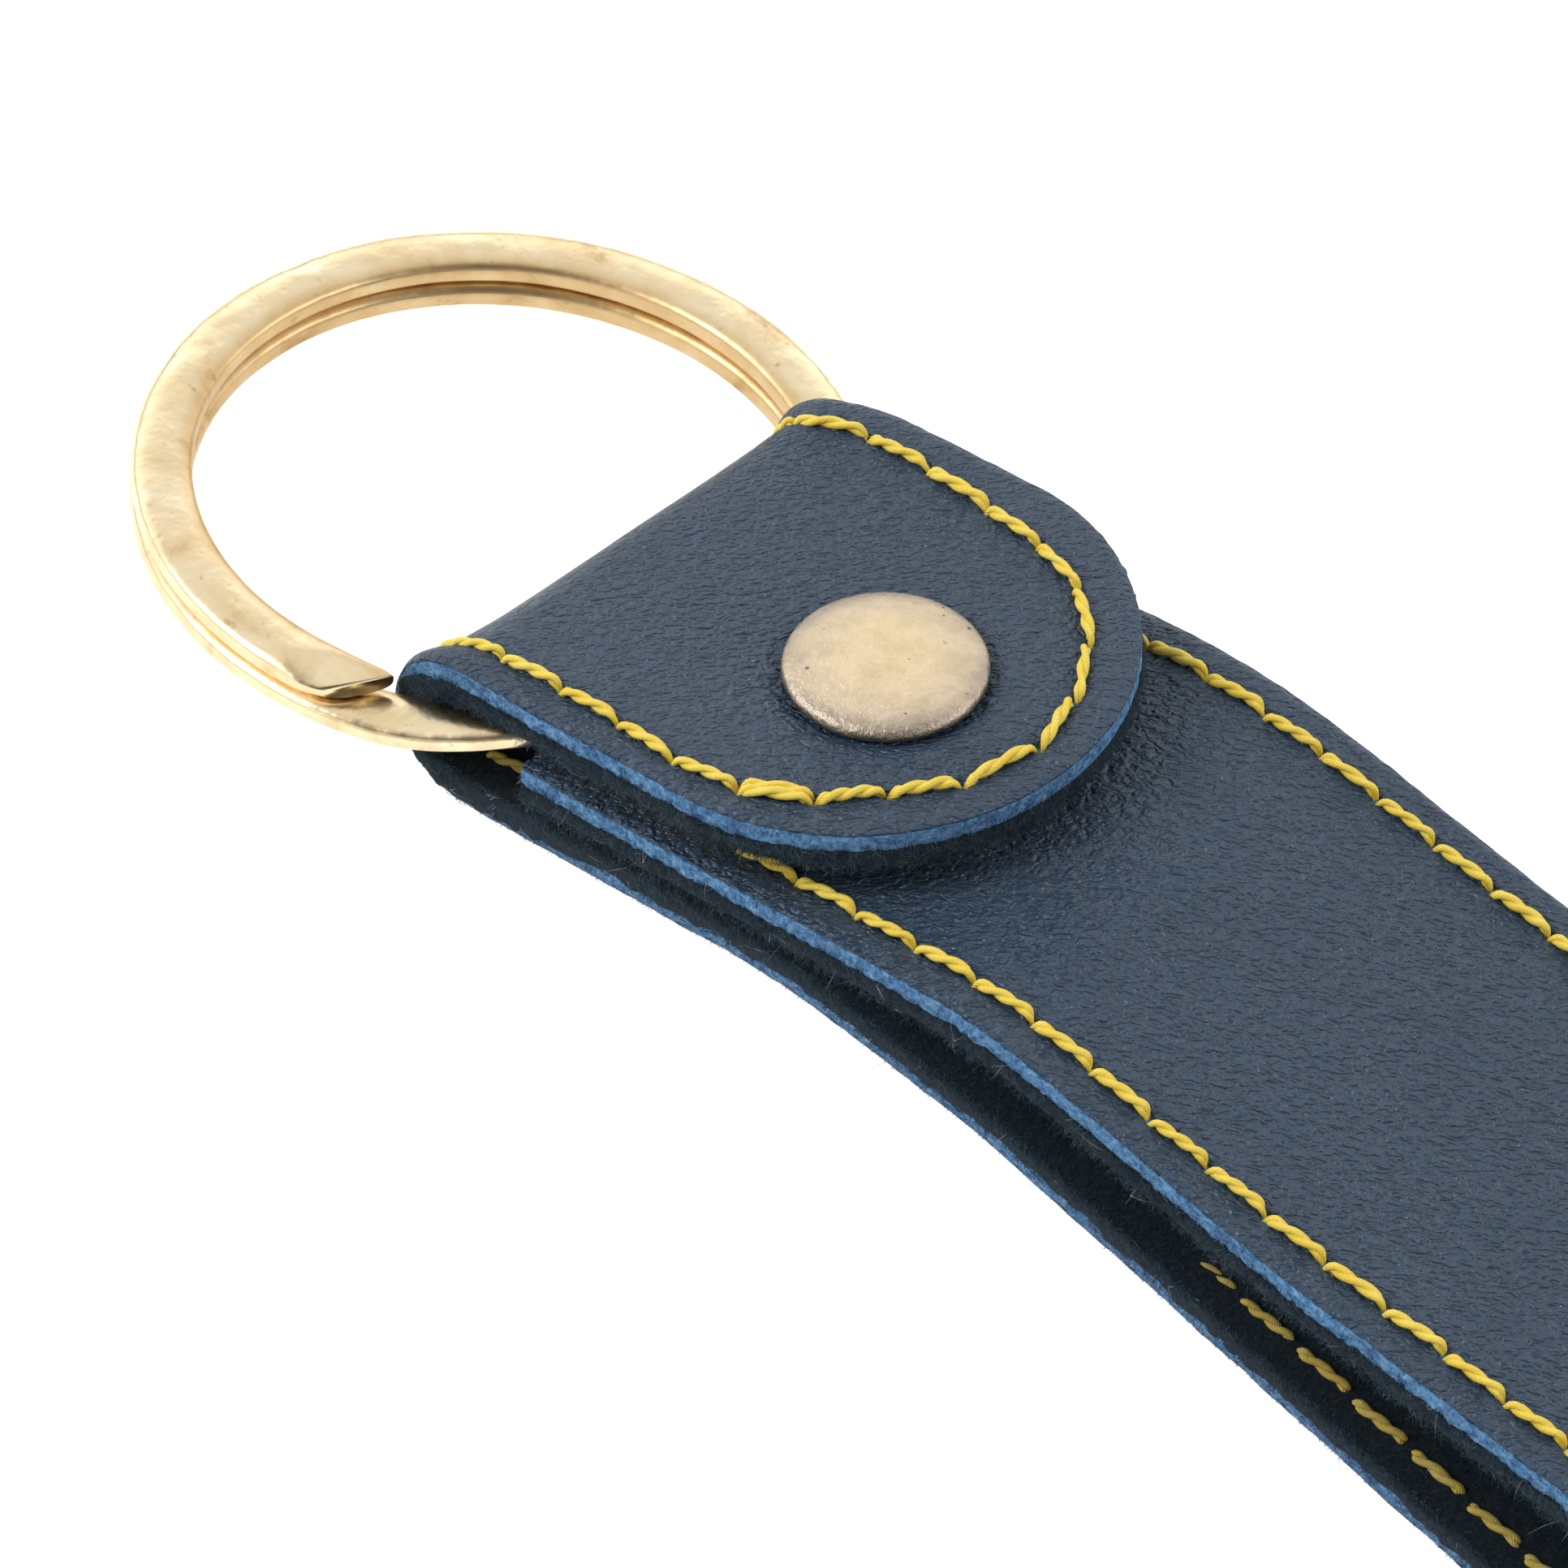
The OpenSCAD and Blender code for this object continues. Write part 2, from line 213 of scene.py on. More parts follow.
def soften(v, width=14):
    """Rounds off the route's changes of curvature."""
    n = 3 * width
    k = np.exp(-0.5 * (np.arange(-n, n + 1) / width) ** 2)
    lo = v[0] + (v[1] - v[0]) * np.arange(-n, 0)
    hi = v[-1] + (v[-1] - v[-2]) * np.arange(1, n + 1)
    return np.convolve(np.concatenate([lo, v, hi]), k / k.sum(), "valid")


# Past the flap the upper run sags a little
sag = 1.05 * smooth((route_x + 29) / 17) * (1 - smooth((route_x - 8) / 25))
route_z = route_z - np.where(even_s > marks[10], sag, 0)
route_x, route_z = soften(route_x), soften(route_z)
tan_x, tan_z = np.gradient(route_x), np.gradient(route_z)
size = np.hypot(tan_x, tan_z)
tan_x, tan_z = tan_x / size, tan_z / size
total_s = even_s[-1]
s_fold = marks[1]
s_lower = marks[2]
s_far = marks[9]

# The fold's upper half sits further in than its lower half, the more so on the far side
fold_set = 2.0
fold_skew = 0.12
fold_drop = 0.3
fold_squeeze = 1.3
near_flare = 0.6
far_flare = 1.0


def place(s, y, d):
    """The point at distance s along the strap, y across it and d in from its outer face."""
    s, y, d = np.broadcast_arrays(*(np.asarray(v, float) for v in (s, y, d)))
    x = np.interp(s, even_s, route_x)
    z = np.interp(s, even_s, route_z)
    tx = np.interp(s, even_s, tan_x)
    tz = np.interp(s, even_s, tan_z)
    before = np.minimum(s, 0)
    after = np.maximum(s - total_s, 0)
    x = x + (before + after) * tx - tz * d
    z = z + (before + after) * tz + tx * d
    fx, fz = unlaid(x, z)
    flare = near_flare * smooth((-y - 10.2) / 1.6) + far_flare * smooth((y - 10.4) / 1.6)
    pull = (fold_set + fold_skew * y - flare) * smooth((fz + 7.3) / 3) * (1 - np.clip(fx / 10, 0, 1)) ** 2
    pull = np.where(s < s_lower, pull, 0)
    x = x + pull * math.cos(rest_tilt)
    z = z + pull * math.sin(rest_tilt)
    far = y / strap_w + 0.5
    near_fold = (1 - np.clip(fx / 9, 0, 1)) ** 2 * smooth((fz + 3.5) / 2.5)
    near_lift = 0.3 * smooth((-y - 9.8) / 2)
    z = z - np.where(s < s_lower, (fold_drop * far * 0.5 - near_lift) * near_fold, 0)
    # The flap is a little crowned about the cap
    middle = 1 - smooth((np.abs(y) - 7) / 4)
    crown = np.where(fx > 17, 0.0018, 0.0013 * middle) * (fx - 17) ** 2 * smooth((fz + 5) / 4)
    z = z - np.where(s < s_lower, crown, 0)
    squeeze = fold_squeeze * smooth((y - 7.5) / 4.8) * smooth(1 - fx / 8) * smooth((fz + 7.3) / 3)
    y = y - np.where(s < s_lower, squeeze, 0)
    # The upper run is twisted a little: its far side dips past the flap
    upper = s > marks[10]
    dip = np.exp(-(((x + 26) / 7) ** 2)) * 0.42 - np.exp(-(((x + 36) / 4) ** 2)) * 0.35
    z = z - np.where(upper, dip * far, 0)
    return np.stack([x, y, z], -1)


def inward(s):
    """Direction from the strap's outer face into it."""
    s = np.asarray(s, float)
    n = np.stack([-np.interp(s, even_s, tan_z), np.zeros_like(s), np.interp(s, even_s, tan_x)], -1)
    return n / np.linalg.norm(n, axis=-1, keepdims=True)


# ---------------------------------------------------------------- mesh making
def make(name, verts, faces, material, body=None, uv=None, smooth_faces=True):
    verts = np.asarray(verts, float).reshape(-1, 3) * MM
    mesh = bpy.data.meshes.new(name)
    faces = [np.asarray(f) for f in faces if len(f)]
    loops = np.concatenate([f.ravel() for f in faces])
    counts = np.concatenate([np.full(len(f), f.shape[1]) for f in faces])
    starts = np.concatenate([[0], np.cumsum(counts)[:-1]])
    mesh.vertices.add(len(verts))
    mesh.vertices.foreach_set("co", verts.astype(np.float32).ravel())
    mesh.loops.add(len(loops))
    mesh.loops.foreach_set("vertex_index", loops.astype(np.int32))
    mesh.polygons.add(len(counts))
    mesh.polygons.foreach_set("loop_start", starts.astype(np.int32))
    mesh.polygons.foreach_set("loop_total", counts.astype(np.int32))
    mesh.polygons.foreach_set("use_smooth", np.full(len(counts), smooth_faces))
    if uv is not None:
        layer = mesh.uv_layers.new(name="UVMap")
        layer.data.foreach_set("uv", np.asarray(uv, np.float32).reshape(-1, 2)[loops].ravel())
    mesh.update(calc_edges=True)
    mesh.validate()
    obj = bpy.data.objects.new(name, mesh)
    bpy.context.scene.collection.objects.link(obj)
    obj.data.materials.append(material)
    if body:
        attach(obj, body)
    return obj


def tube_faces(rows, cols, first=0, cap=True):
    """Quads of a grid of rows, closed round its columns, with both ends capped by fans of triangles."""
    r, c = np.meshgrid(np.arange(rows - 1), np.arange(cols), indexing="ij")
    c2 = (c + 1) % cols
    quads = np.stack([r * cols + c, r * cols + c2, (r + 1) * cols + c2, (r + 1) * cols + c], -1).reshape(-1, 4)
    tris = np.zeros((0, 3), int)
    if cap:
        k = np.arange(1, cols - 1)
        a = np.stack([np.zeros_like(k), k + 1, k], -1)
        b = (rows - 1) * cols + np.stack([np.zeros_like(k), k, k + 1], -1)
        tris = np.concatenate([a, b])
    return quads + first, tris + first


def weld(verts, faces, grain=1e-4):
    """Joins vertices that lie on each other and drops faces that this makes empty."""
    key = np.round(verts / grain).astype(np.int64)
    _, keep, back = np.unique(key, axis=0, return_index=True, return_inverse=True)
    back = back.reshape(-1)
    out = []
    for f in faces:
        f = back[f]
        if f.shape[1] == 4:
            same = [f[:, i] == f[:, (i + 1) % 4] for i in range(4)]
            count = sum(x.astype(int) for x in same)
            out.append(f[count == 0])
            one = f[count == 1]
            if len(one):
                drop = np.argmax(np.stack([one[:, i] == one[:, (i + 1) % 4] for i in range(4)], -1), -1)
                out.append(np.array([[row[j] for j in range(4) if j != k] for row, k in zip(one, drop)]))
        else:
            good = (f[:, 0] != f[:, 1]) & (f[:, 1] != f[:, 2]) & (f[:, 2] != f[:, 0])
            out.append(f[good])
    return keep, out


# ---------------------------------------------------------------- panels
band = 3.0
s_split = s_lower - 0.93
s_end_core = total_s - 8.0
# How far from the tucked-in end, along each run, the strap is made fine
seen_len = 62.0


def flap_rows(step):
    """The flap's half outline from its tip, as rows of (s, y, normal s, normal y)."""
    a = np.linspace(0, math.pi / 2, 2000)
    s = flap_round - flap_round * np.cos(a)
    y = -half_w * np.sin(a)
    ns, ny = np.cos(a) / flap_round, np.sin(a) / half_w
    straight = np.linspace(flap_round, s_split, 2000)[1:]
    s = np.concatenate([s, straight])
    y = np.concatenate([y, np.full(1999, -half_w)])
    ns = np.concatenate([ns, np.zeros(1999)])
    ny = np.concatenate([ny, np.ones(1999)])
    run = np.concatenate([[0], np.cumsum(np.hypot(np.diff(s), np.diff(y)))])
    t = np.linspace(0, run[-1], int(run[-1] / step) + 2)
    out = [np.interp(t, run, v) for v in (s, y, ns, ny)]
    n = np.hypot(out[2], out[3])
    return out[0], out[1], out[2] / n, out[3] / n


def strap_rows(step_seen, step_hidden):
    seen_lower = s_lower + seen_len
    seen_upper = total_s - seen_len
    s = np.concatenate(
        [
            np.arange(s_split, seen_lower, step_seen),
            np.arange(seen_lower, seen_upper, step_hidden),
            np.arange(seen_upper, total_s, step_seen),
            [total_s],
        ]
    )
    return s, np.full(len(s), -half_w), np.zeros(len(s)), np.ones(len(s))


def seen_near(s):
    return s < s_lower + seen_len or s > total_s - seen_len


def tucked(s, y):
    """Cuts the tucked-in end to an arc that clears the ring."""
    cut = np.maximum(tuck_x, -4.10 + np.sqrt(np.maximum(16.4**2 - y**2, 0)))
    end = total_s - (cut - tuck_x)
    f = (s - s_end_core) / (total_s - s_end_core)
    return np.where(s > s_end_core, s_end_core + (end - s_end_core) * f, s)


def shape(rows, columns):
    """s, y and d of each grid point.

    Columns are (side, e, d): side is -1 near, 1 far, and 0 for a share e of the core.
    """
    so, yo, ns, ny = (v[:, None] for v in rows)
    side = np.array([c[0] for c in columns], float)[None]
    e = np.array([c[1] for c in columns], float)[None]
    d = np.array([c[2] for c in columns], float)[None] + 0 * so
    inset = np.where(side == 0, band, e)
    s = so + ns * inset
    y = yo + ny * inset
    y = np.where(side == -1, y, np.where(side == 1, -y, y * (1 - 2 * e)))
    return s, y, d


def fuller(s, y):
    """The flap's far edge was cut a little fuller than its near one."""
    return y + 0.42 * smooth((y - 8) / 4) * np.exp(-(((s - 13.5) / 7) ** 2))


# Shares of the width, from the far side back to the near one, where hidden faces have their points
back_over = np.linspace(1, 0, 17)


def skin_columns(core):
    top = [0.0, 0.03, 0.07, 0.12, 0.2, 0.3, 0.45, 0.65, 0.9, 1.15, 1.3, 1.4, 1.5, 1.6, 1.72]
    top += [1.84, 1.96, 2.08, 2.18, 2.28, 2.4, 2.55, 2.75]
    roll = {e: 0.13 * (1 - min(e / 0.6, 1)) ** 2 for e in top}
    near = [(-1, e, roll[e]) for e in top]
    far = [(1, e, roll[e]) for e in reversed(top)]
    mid = [(0, f, 0) for f in np.linspace(0, 1, core)]
    under = [(1, 0.01, 0.21), (1, 0.6, 0.30), (1, 2.0, 0.33)]
    under += [(0, f, 0.33) for f in back_over]
    under += [(-1, 2.0, 0.33), (-1, 0.6, 0.30), (-1, 0.01, 0.21)]
    return near + mid + far, under


# Holes of the flap's seam in the folded end's frame, from the near side round the tip: picked in the photo,
# turned into mm by a scratch script with the fitted camera, and the two at each end moved by hand
flap_holes = [
    (4.6, -10.46), (7.95, -10.46), (11.23, -10.6), (14.47, -10.92), (17.82, -10.6), (20.71, -9.09),
    (22.82, -6.84), (24.86, -4.32), (25.91, -0.43), (25.26, 2.89), (23.54, 6.03), (20.98, 8.47),
    (17.95, 9.62), (14.74, 10.09), (11.17, 10.57), (7.65, 10.55), (2.6, 10.2),
]
flap_seam = [(flap_len - x, y) for x, y in flap_holes]
seam_y = half_w - seam_in


def seam_holes(side):
    """Holes of one straight seam, from the flap's last hole round to the tucked-in end."""
    first = flap_seam[0][0] if side < 0 else flap_seam[-1][0]
    last = total_s - 13.56 + (0 if side < 0 else 0.8)
    n = round((last - first) / stitch_len)
    s = first + (last - first) * np.arange(n + 5) / n
    s = s[s < total_s - 0.4]
    wave = 0.05 * noise2(s, side * 3.0, 9.0, 5)
    y = np.full(len(s), side * seam_y) + wave
    y[0] = flap_seam[0 if side < 0 else -1][1]
    return list(zip(s, y))


near_seam, far_seam = seam_holes(-1), seam_holes(1)
all_seams = [near_seam, flap_seam, far_seam]


def seam_line(points, gap=0.1):
    """Fine points along a seam, to measure distance from it."""
    p = np.array(points)
    out = []
    for a, b in zip(p[:-1], p[1:]):
        n = max(2, int(np.hypot(*(b - a)) / gap))
        out.append(a + (b - a) * np.arange(n)[:, None] / n)
    return np.concatenate(out)



def near_distance(points, line):
    """Distance of each point (n, 2) from a fine line of points (m, 2)."""
    best = np.full(len(points), 1e9)
    for i in range(0, len(line), 8):
        part = line[i : i + 8]
        for q in part:
            best = np.minimum(best, (points[:, 0] - q[0]) ** 2 + (points[:, 1] - q[1]) ** 2)
    return np.sqrt(best)


def seam_dent(s, y):
    """How deep the skin is drawn in by the seams and their holes."""
    flat = np.stack([s.ravel(), y.ravel()], -1)
    groove = np.zeros(len(flat))
    for seam in all_seams:
        p = np.array(seam)
        on_flap = seam is flap_seam
        if on_flap:
            close = np.where(flat[:, 0] < s_fold + 3)[0]
            dist = near_distance(flat[close], seam_line(seam, 0.35))
        else:
            close = np.where(np.abs(flat[:, 1] - p[1, 1]) < 1.2)[0]
            close = close[(flat[close, 0] > p[0, 0])]
            dist = np.abs(flat[close, 1] - np.interp(flat[close, 0], p[:, 0], p[:, 1]))
        groove[close] = np.maximum(groove[close], 0.10 * np.exp(-((dist / 0.42) ** 2)))
        order = np.argsort(flat[:, 0], kind="stable")
        sorted_s = flat[order, 0]
        for hs, hy in seam:
            lo, hi = np.searchsorted(sorted_s, [hs - 0.9, hs + 0.9])
            idx = order[lo:hi]
            r2 = (flat[idx, 0] - hs) ** 2 + (flat[idx, 1] - hy) ** 2
            deep = 0.5 * np.exp(-r2 / 0.24**2) + 0.05 * np.exp(-r2 / 0.5**2)
            groove[idx] = np.maximum(groove[idx], deep)
    return groove.reshape(s.shape)


def cap_dent(s, y):
    r = np.hypot(s - (flap_len - snap_x), y - snap_y)
    return (0.2 * np.exp(-((np.maximum(r - 4.35, 0) / 0.5) ** 2))) * (s < s_fold)


def layer(name, columns, s, y, d, v, material, is_strap):
    """The closed mesh of one layer; v runs across its texture."""
    if is_strap:
        s = tucked(s, y)
    verts = place(s, y, d).reshape(-1, 3)
    keep, faces = weld(verts, tube_faces(len(s), len(columns)))
    uv = np.stack([s.ravel() / 10, v.ravel() / 10], -1)
    return make(name, verts[keep], faces, material, None, uv[keep])


def skin(name, rows, core, material, is_strap):
    seen, under = skin_columns(core)
    columns = seen + under
    s, y, d = shape(rows, columns)
    outer = len(seen)
    y = y if is_strap else fuller(s, y)
    edge = np.array([c[1] if c[0] else band for c in columns])[None] + 0 * s
    cut = 0.035 * noise2(s, y * 0.3, 0.5, 11) + 0.05 * noise2(s, y * 0.3, 2.2, 12)
    y = y - np.sign(y) * np.where(edge < 0.5, cut * (1 - edge / 0.5), 0)
    y = y - np.sign(y) * np.where(edge < 1.5, bevel(s, 0.2) * (1 - edge / 1.5), 0)
    lump = 0.03 * noise2(s, y, 5.0, 21) + 0.012 * noise2(s, y, 1.6, 22)
    dent = seam_dent(s[:, :outer], y[:, :outer]) + cap_dent(s[:, :outer], y[:, :outer]) * (0 if is_strap else 1)
    d[:, :outer] += dent + lump[:, :outer] - 0.04
    d[:, outer:] = np.maximum(d[:, outer:], 0)
    return layer(name, columns, s, y, d, y, material, is_strap)


def foam(name, rows, material, is_strap):
    depth = [0.19, 0.30, 0.42, 0.55, 0.66, 0.77, 0.88, 0.97, 1.03]
    near = [(-1, 0.0, q) for q in depth] + [(-1, 0.7, 1.06)]
    far = [(1, 0.7, 1.06)] + [(1, 0.0, q) for q in reversed(depth)]
    low = [(0, f, 1.06) for f in back_over[::-1]]
    top = [(1, 0.7, 0.27)] + [(0, f, 0.27) for f in back_over] + [(-1, 0.7, 0.27)]
    columns = near + low + far + top
    s, y, d = shape(rows, columns)
    y = y if is_strap else fuller(s, y)
    ragged = (
        0.075 * noise(np.stack([s, y, d * 1.5], -1), 0.24, 31)
        + 0.06 * noise(np.stack([s, y, d], -1), 0.6, 32)
        + 0.05 * noise2(s, y * 0.3, 2.2, 12)
    )
    on_edge = np.array([c[0] != 0 and abs(c[1]) < 0.1 for c in columns])[None]
    y = y - np.sign(y) * np.where(on_edge, ragged - 0.01 + bevel(s, d), 0)
    d = d + np.where((d > 0.9), 0.06 * noise2(s, y * 0.2, 0.8, 33), 0)
    return layer(name, columns, s, y, d, d, material, is_strap)


def bevel(s, d):
    """On the fold and the lower run the cut leans in towards the outer face."""
    lower = smooth((s - s_fold - 1) / 5) * (1 - smooth((s - s_far) / 5))
    return (0.2 - 0.08 * smooth((s - s_lower - 2) / 5)) * lower * np.clip(1 - (d - 0.2) / 0.8, 0, 1)


def cover(s):
    """How far the brushed pile has crept over the foam on the fold and the lower run."""
    ragged = 0.14 * noise2(s, 0, 0.5, 44) + 0.12 * noise2(s, 0, 2.0, 45)
    lower = smooth((s - s_fold - 1.5) / 3) * (1 - smooth((s - s_far) / 5))
    return (0.64 - 0.46 * smooth((s - s_lower - 2) / 5) + ragged) * lower


fleece_wall = [1.0, 1.08, 1.2, 1.33, 1.46, 1.6, 1.73, 1.83, 1.9]


def fleece(name, rows, core, material, is_strap):
    bulge = [-0.02, -0.08, -0.12, -0.15, -0.16, -0.15, -0.11, -0.04, 0.1]
    near = [(-1, b, q) for b, q in zip(bulge, fleece_wall)]
    low = [0.3, 0.6, 1.0, 1.4, 1.84, 2.3, 2.7]
    near += [(-1, e, 1.92) for e in low]
    mid = [(0, f, 1.92) for f in np.linspace(0, 1, core)]
    far = [(1, e, 1.92) for e in reversed(low)]
    far += [(1, b, q) for b, q in zip(reversed(bulge), reversed(fleece_wall))]
    top = [(1, 1.5, 0.98)] + [(0, f, 0.98) for f in back_over] + [(-1, 1.5, 0.98)]
    columns = near + mid + far + top
    s, y, d = shape(rows, columns)
    y = y if is_strap else fuller(s, y)
    p = np.stack([s, y, d], -1)
    pile = 0.05 * noise(p, 0.3, 41) + 0.06 * noise(p, 0.8, 42) + 0.05 * noise(p, 2.6, 43)
    edge = np.array([c[0] != 0 and c[1] < 0.25 for c in columns])[None]
    wall = edge & np.array([c[2] > 0.99 for c in columns])[None]
    inner = np.array([c[2] > 1.8 for c in columns])[None]
    y = y - np.sign(y) * np.where(wall, pile, 0)
    creep = np.clip(1 - (d - 1.0) / 0.5, 0, 1) * cover(s)
    d = d - np.where(edge, creep, 0)
    d = d + np.where(inner, 0.7 * pile, 0)
    return layer(name, columns, s, y, d, y, material, is_strap)


# ---------------------------------------------------------------- fibres
def fibres(name, roots, outs, lengths, thick, material, seed, curl=0.6):
    """Short bent hairs: roots and the directions they leave in, tapering to a point."""
    r = np.random.default_rng(seed)
    n = len(roots)
    bend = r.normal(size=(n, 3))
    bend -= (bend * outs).sum(-1, keepdims=True) * outs
    bend /= np.linalg.norm(bend, axis=-1, keepdims=True)
    bend2 = r.normal(size=(n, 3))
    bend2 /= np.linalg.norm(bend2, axis=-1, keepdims=True)
    t = np.array([0, 0.34, 0.7, 1.0])
    rad = np.array([1.0, 0.9, 0.7, 0.25])
    L = lengths[:, None, None]
    line = (
        roots[:, None]
        + outs[:, None] * (t * (1 - 0.45 * curl * t))[None, :, None] * L
        + bend[:, None] * (curl * t**2)[None, :, None] * L
        + bend2[:, None] * (0.35 * curl * np.sin(t * 4))[None, :, None] * L
    )
    side = bend2 - (bend2 * outs).sum(-1, keepdims=True) * outs
    side /= np.linalg.norm(side, axis=-1, keepdims=True)
    other = np.cross(outs, side)
    ang = np.arange(3) * 2 * math.pi / 3
    ringp = (
        side[:, None, None] * np.cos(ang)[None, None, :, None]
        + other[:, None, None] * np.sin(ang)[None, None, :, None]
    )
    verts = line[:, :, None] + ringp * (rad[None, :, None, None] * thick[:, None, None, None])
    verts = verts.reshape(-1, 3)
    quads, tris = tube_faces(4, 3)
    base = (np.arange(n) * 12)[:, None, None]
    return make(name, verts, [(quads[None] + base).reshape(-1, 4), (tris[None] + base).reshape(-1, 3)], material)


# ---------------------------------------------------------------- thread
def thread_frame(line):
    tang = np.gradient(line, axis=0)
    tang /= np.linalg.norm(tang, axis=1, keepdims=True)
    return tang


def ply_tube(line, ups, radius, cols, turns, phase, offset):
    """One ply wound round a stitch's middle line."""
    n = len(line)
    tang = thread_frame(line)
    across = np.cross(tang, ups)
    across /= np.linalg.norm(across, axis=1, keepdims=True)
    up = np.cross(across, tang)
    t = np.linspace(0, 1, n)
    a = phase + 2 * math.pi * turns * t
    centre = line + (across * np.cos(a)[:, None] + up * np.sin(a)[:, None]) * offset[:, None]
    tang = thread_frame(centre)
    across = np.cross(tang, up)
    across /= np.linalg.norm(across, axis=1, keepdims=True)
    up = np.cross(across, tang)
    k = np.arange(cols) * 2 * math.pi / cols
    verts = centre[:, None] + radius[:, None, None] * (
        across[:, None] * np.cos(k)[None, :, None] + up[:, None] * np.sin(k)[None, :, None]
    )
    uv = np.stack(np.meshgrid(t * 3.2, k / (2 * math.pi), indexing="ij"), -1)
    return verts.reshape(-1, 3), uv.reshape(-1, 2)


# The flap's stitch that is sewn twice, where the thread was locked
doubled_stitch = 4


def stitches(name, seams, material, inside, kept):
    """Two-ply stitches along seams; kept says which belong to this panel."""
    verts, uvs, quads, tris, first = [], [], [], [], 0
    r = np.random.default_rng(91 if inside else 90)
    for seam in seams:
        for k in range(len(seam) - 1):
            (s0, y0), (s1, y1) = seam[k], seam[k + 1]
            lean, swell = r.normal(0, 0.035), r.normal(1, 0.05)
            turn, twist = r.uniform(0, 6.28), r.normal(1.4, 0.12)
            side_shift = r.normal(0, 0.03)
            middle = (s0 + s1) / 2
            if not kept(middle):
                continue
            n, cols = (34, 10) if seen_near(middle) else (12, 6)
            passes = 2 if seam is flap_seam and k == doubled_stitch and not inside else 1
            for rep in range(passes):
                t = np.linspace(0, 1, n)
                along = np.array([s1 - s0, y1 - y0])
                length = np.hypot(*along)
                along /= length
                normal = np.array([-along[1], along[0]])
                slant = (0.13 + lean) * (1 - 2 * t) * (-1 if inside else 1)
                slant = slant + side_shift * np.sin(math.pi * t) + (rep - 0.5) * 0.42 * (passes - 1)
                reach = 0.015 + 0.97 * t
                s = s0 + along[0] * length * reach + normal[0] * slant
                y = y0 + along[1] * length * reach + normal[1] * slant
                rise = np.clip(np.minimum(t, 1 - t) / 0.16, 0, 1)
                rise = np.sin(rise * math.pi / 2) ** 1.3
                bow = 0.06 * np.sin(math.pi * t)
                height = -0.46 + 0.62 * rise + bow + 0.06 * rep
                height = height - 0.16 * smooth((s - s_fold + 2) / 3) * (s < s_lower)
                if inside and seam is near_seam:
                    sunk = smooth((s - s_lower - 6) / 3) * (1 - smooth((s - s_lower - 35) / 9)) * (s < s_far)
                    height = height - 0.1 - 0.46 * sunk
                d = (laminate_t + height - 0.05) if inside else -height
                y = y - 0.3 * (inside and seam is near_seam and s0 < s_far and s0 > s_lower)
                line = place(s, y, d)
                up = inward(s) * (1 if inside else -1)
                radius = 0.168 * (0.62 + 0.38 * rise) * swell * np.ones(n)
                offset = 0.118 * (0.35 + 0.65 * rise) * np.ones(n)
                for ply in (0, 1):
                    v, uv = ply_tube(line, up, radius, cols, twist, turn + math.pi * ply, offset)
                    q, tr = tube_faces(n, cols, first)
                    first += len(v)
                    verts.append(v)
                    uvs.append(uv)
                    quads.append(q)
                    tris.append(tr)
    faces = [np.concatenate(quads), np.concatenate(tris)]
    return make(name, np.concatenate(verts), faces, material, None, np.concatenate(uvs))


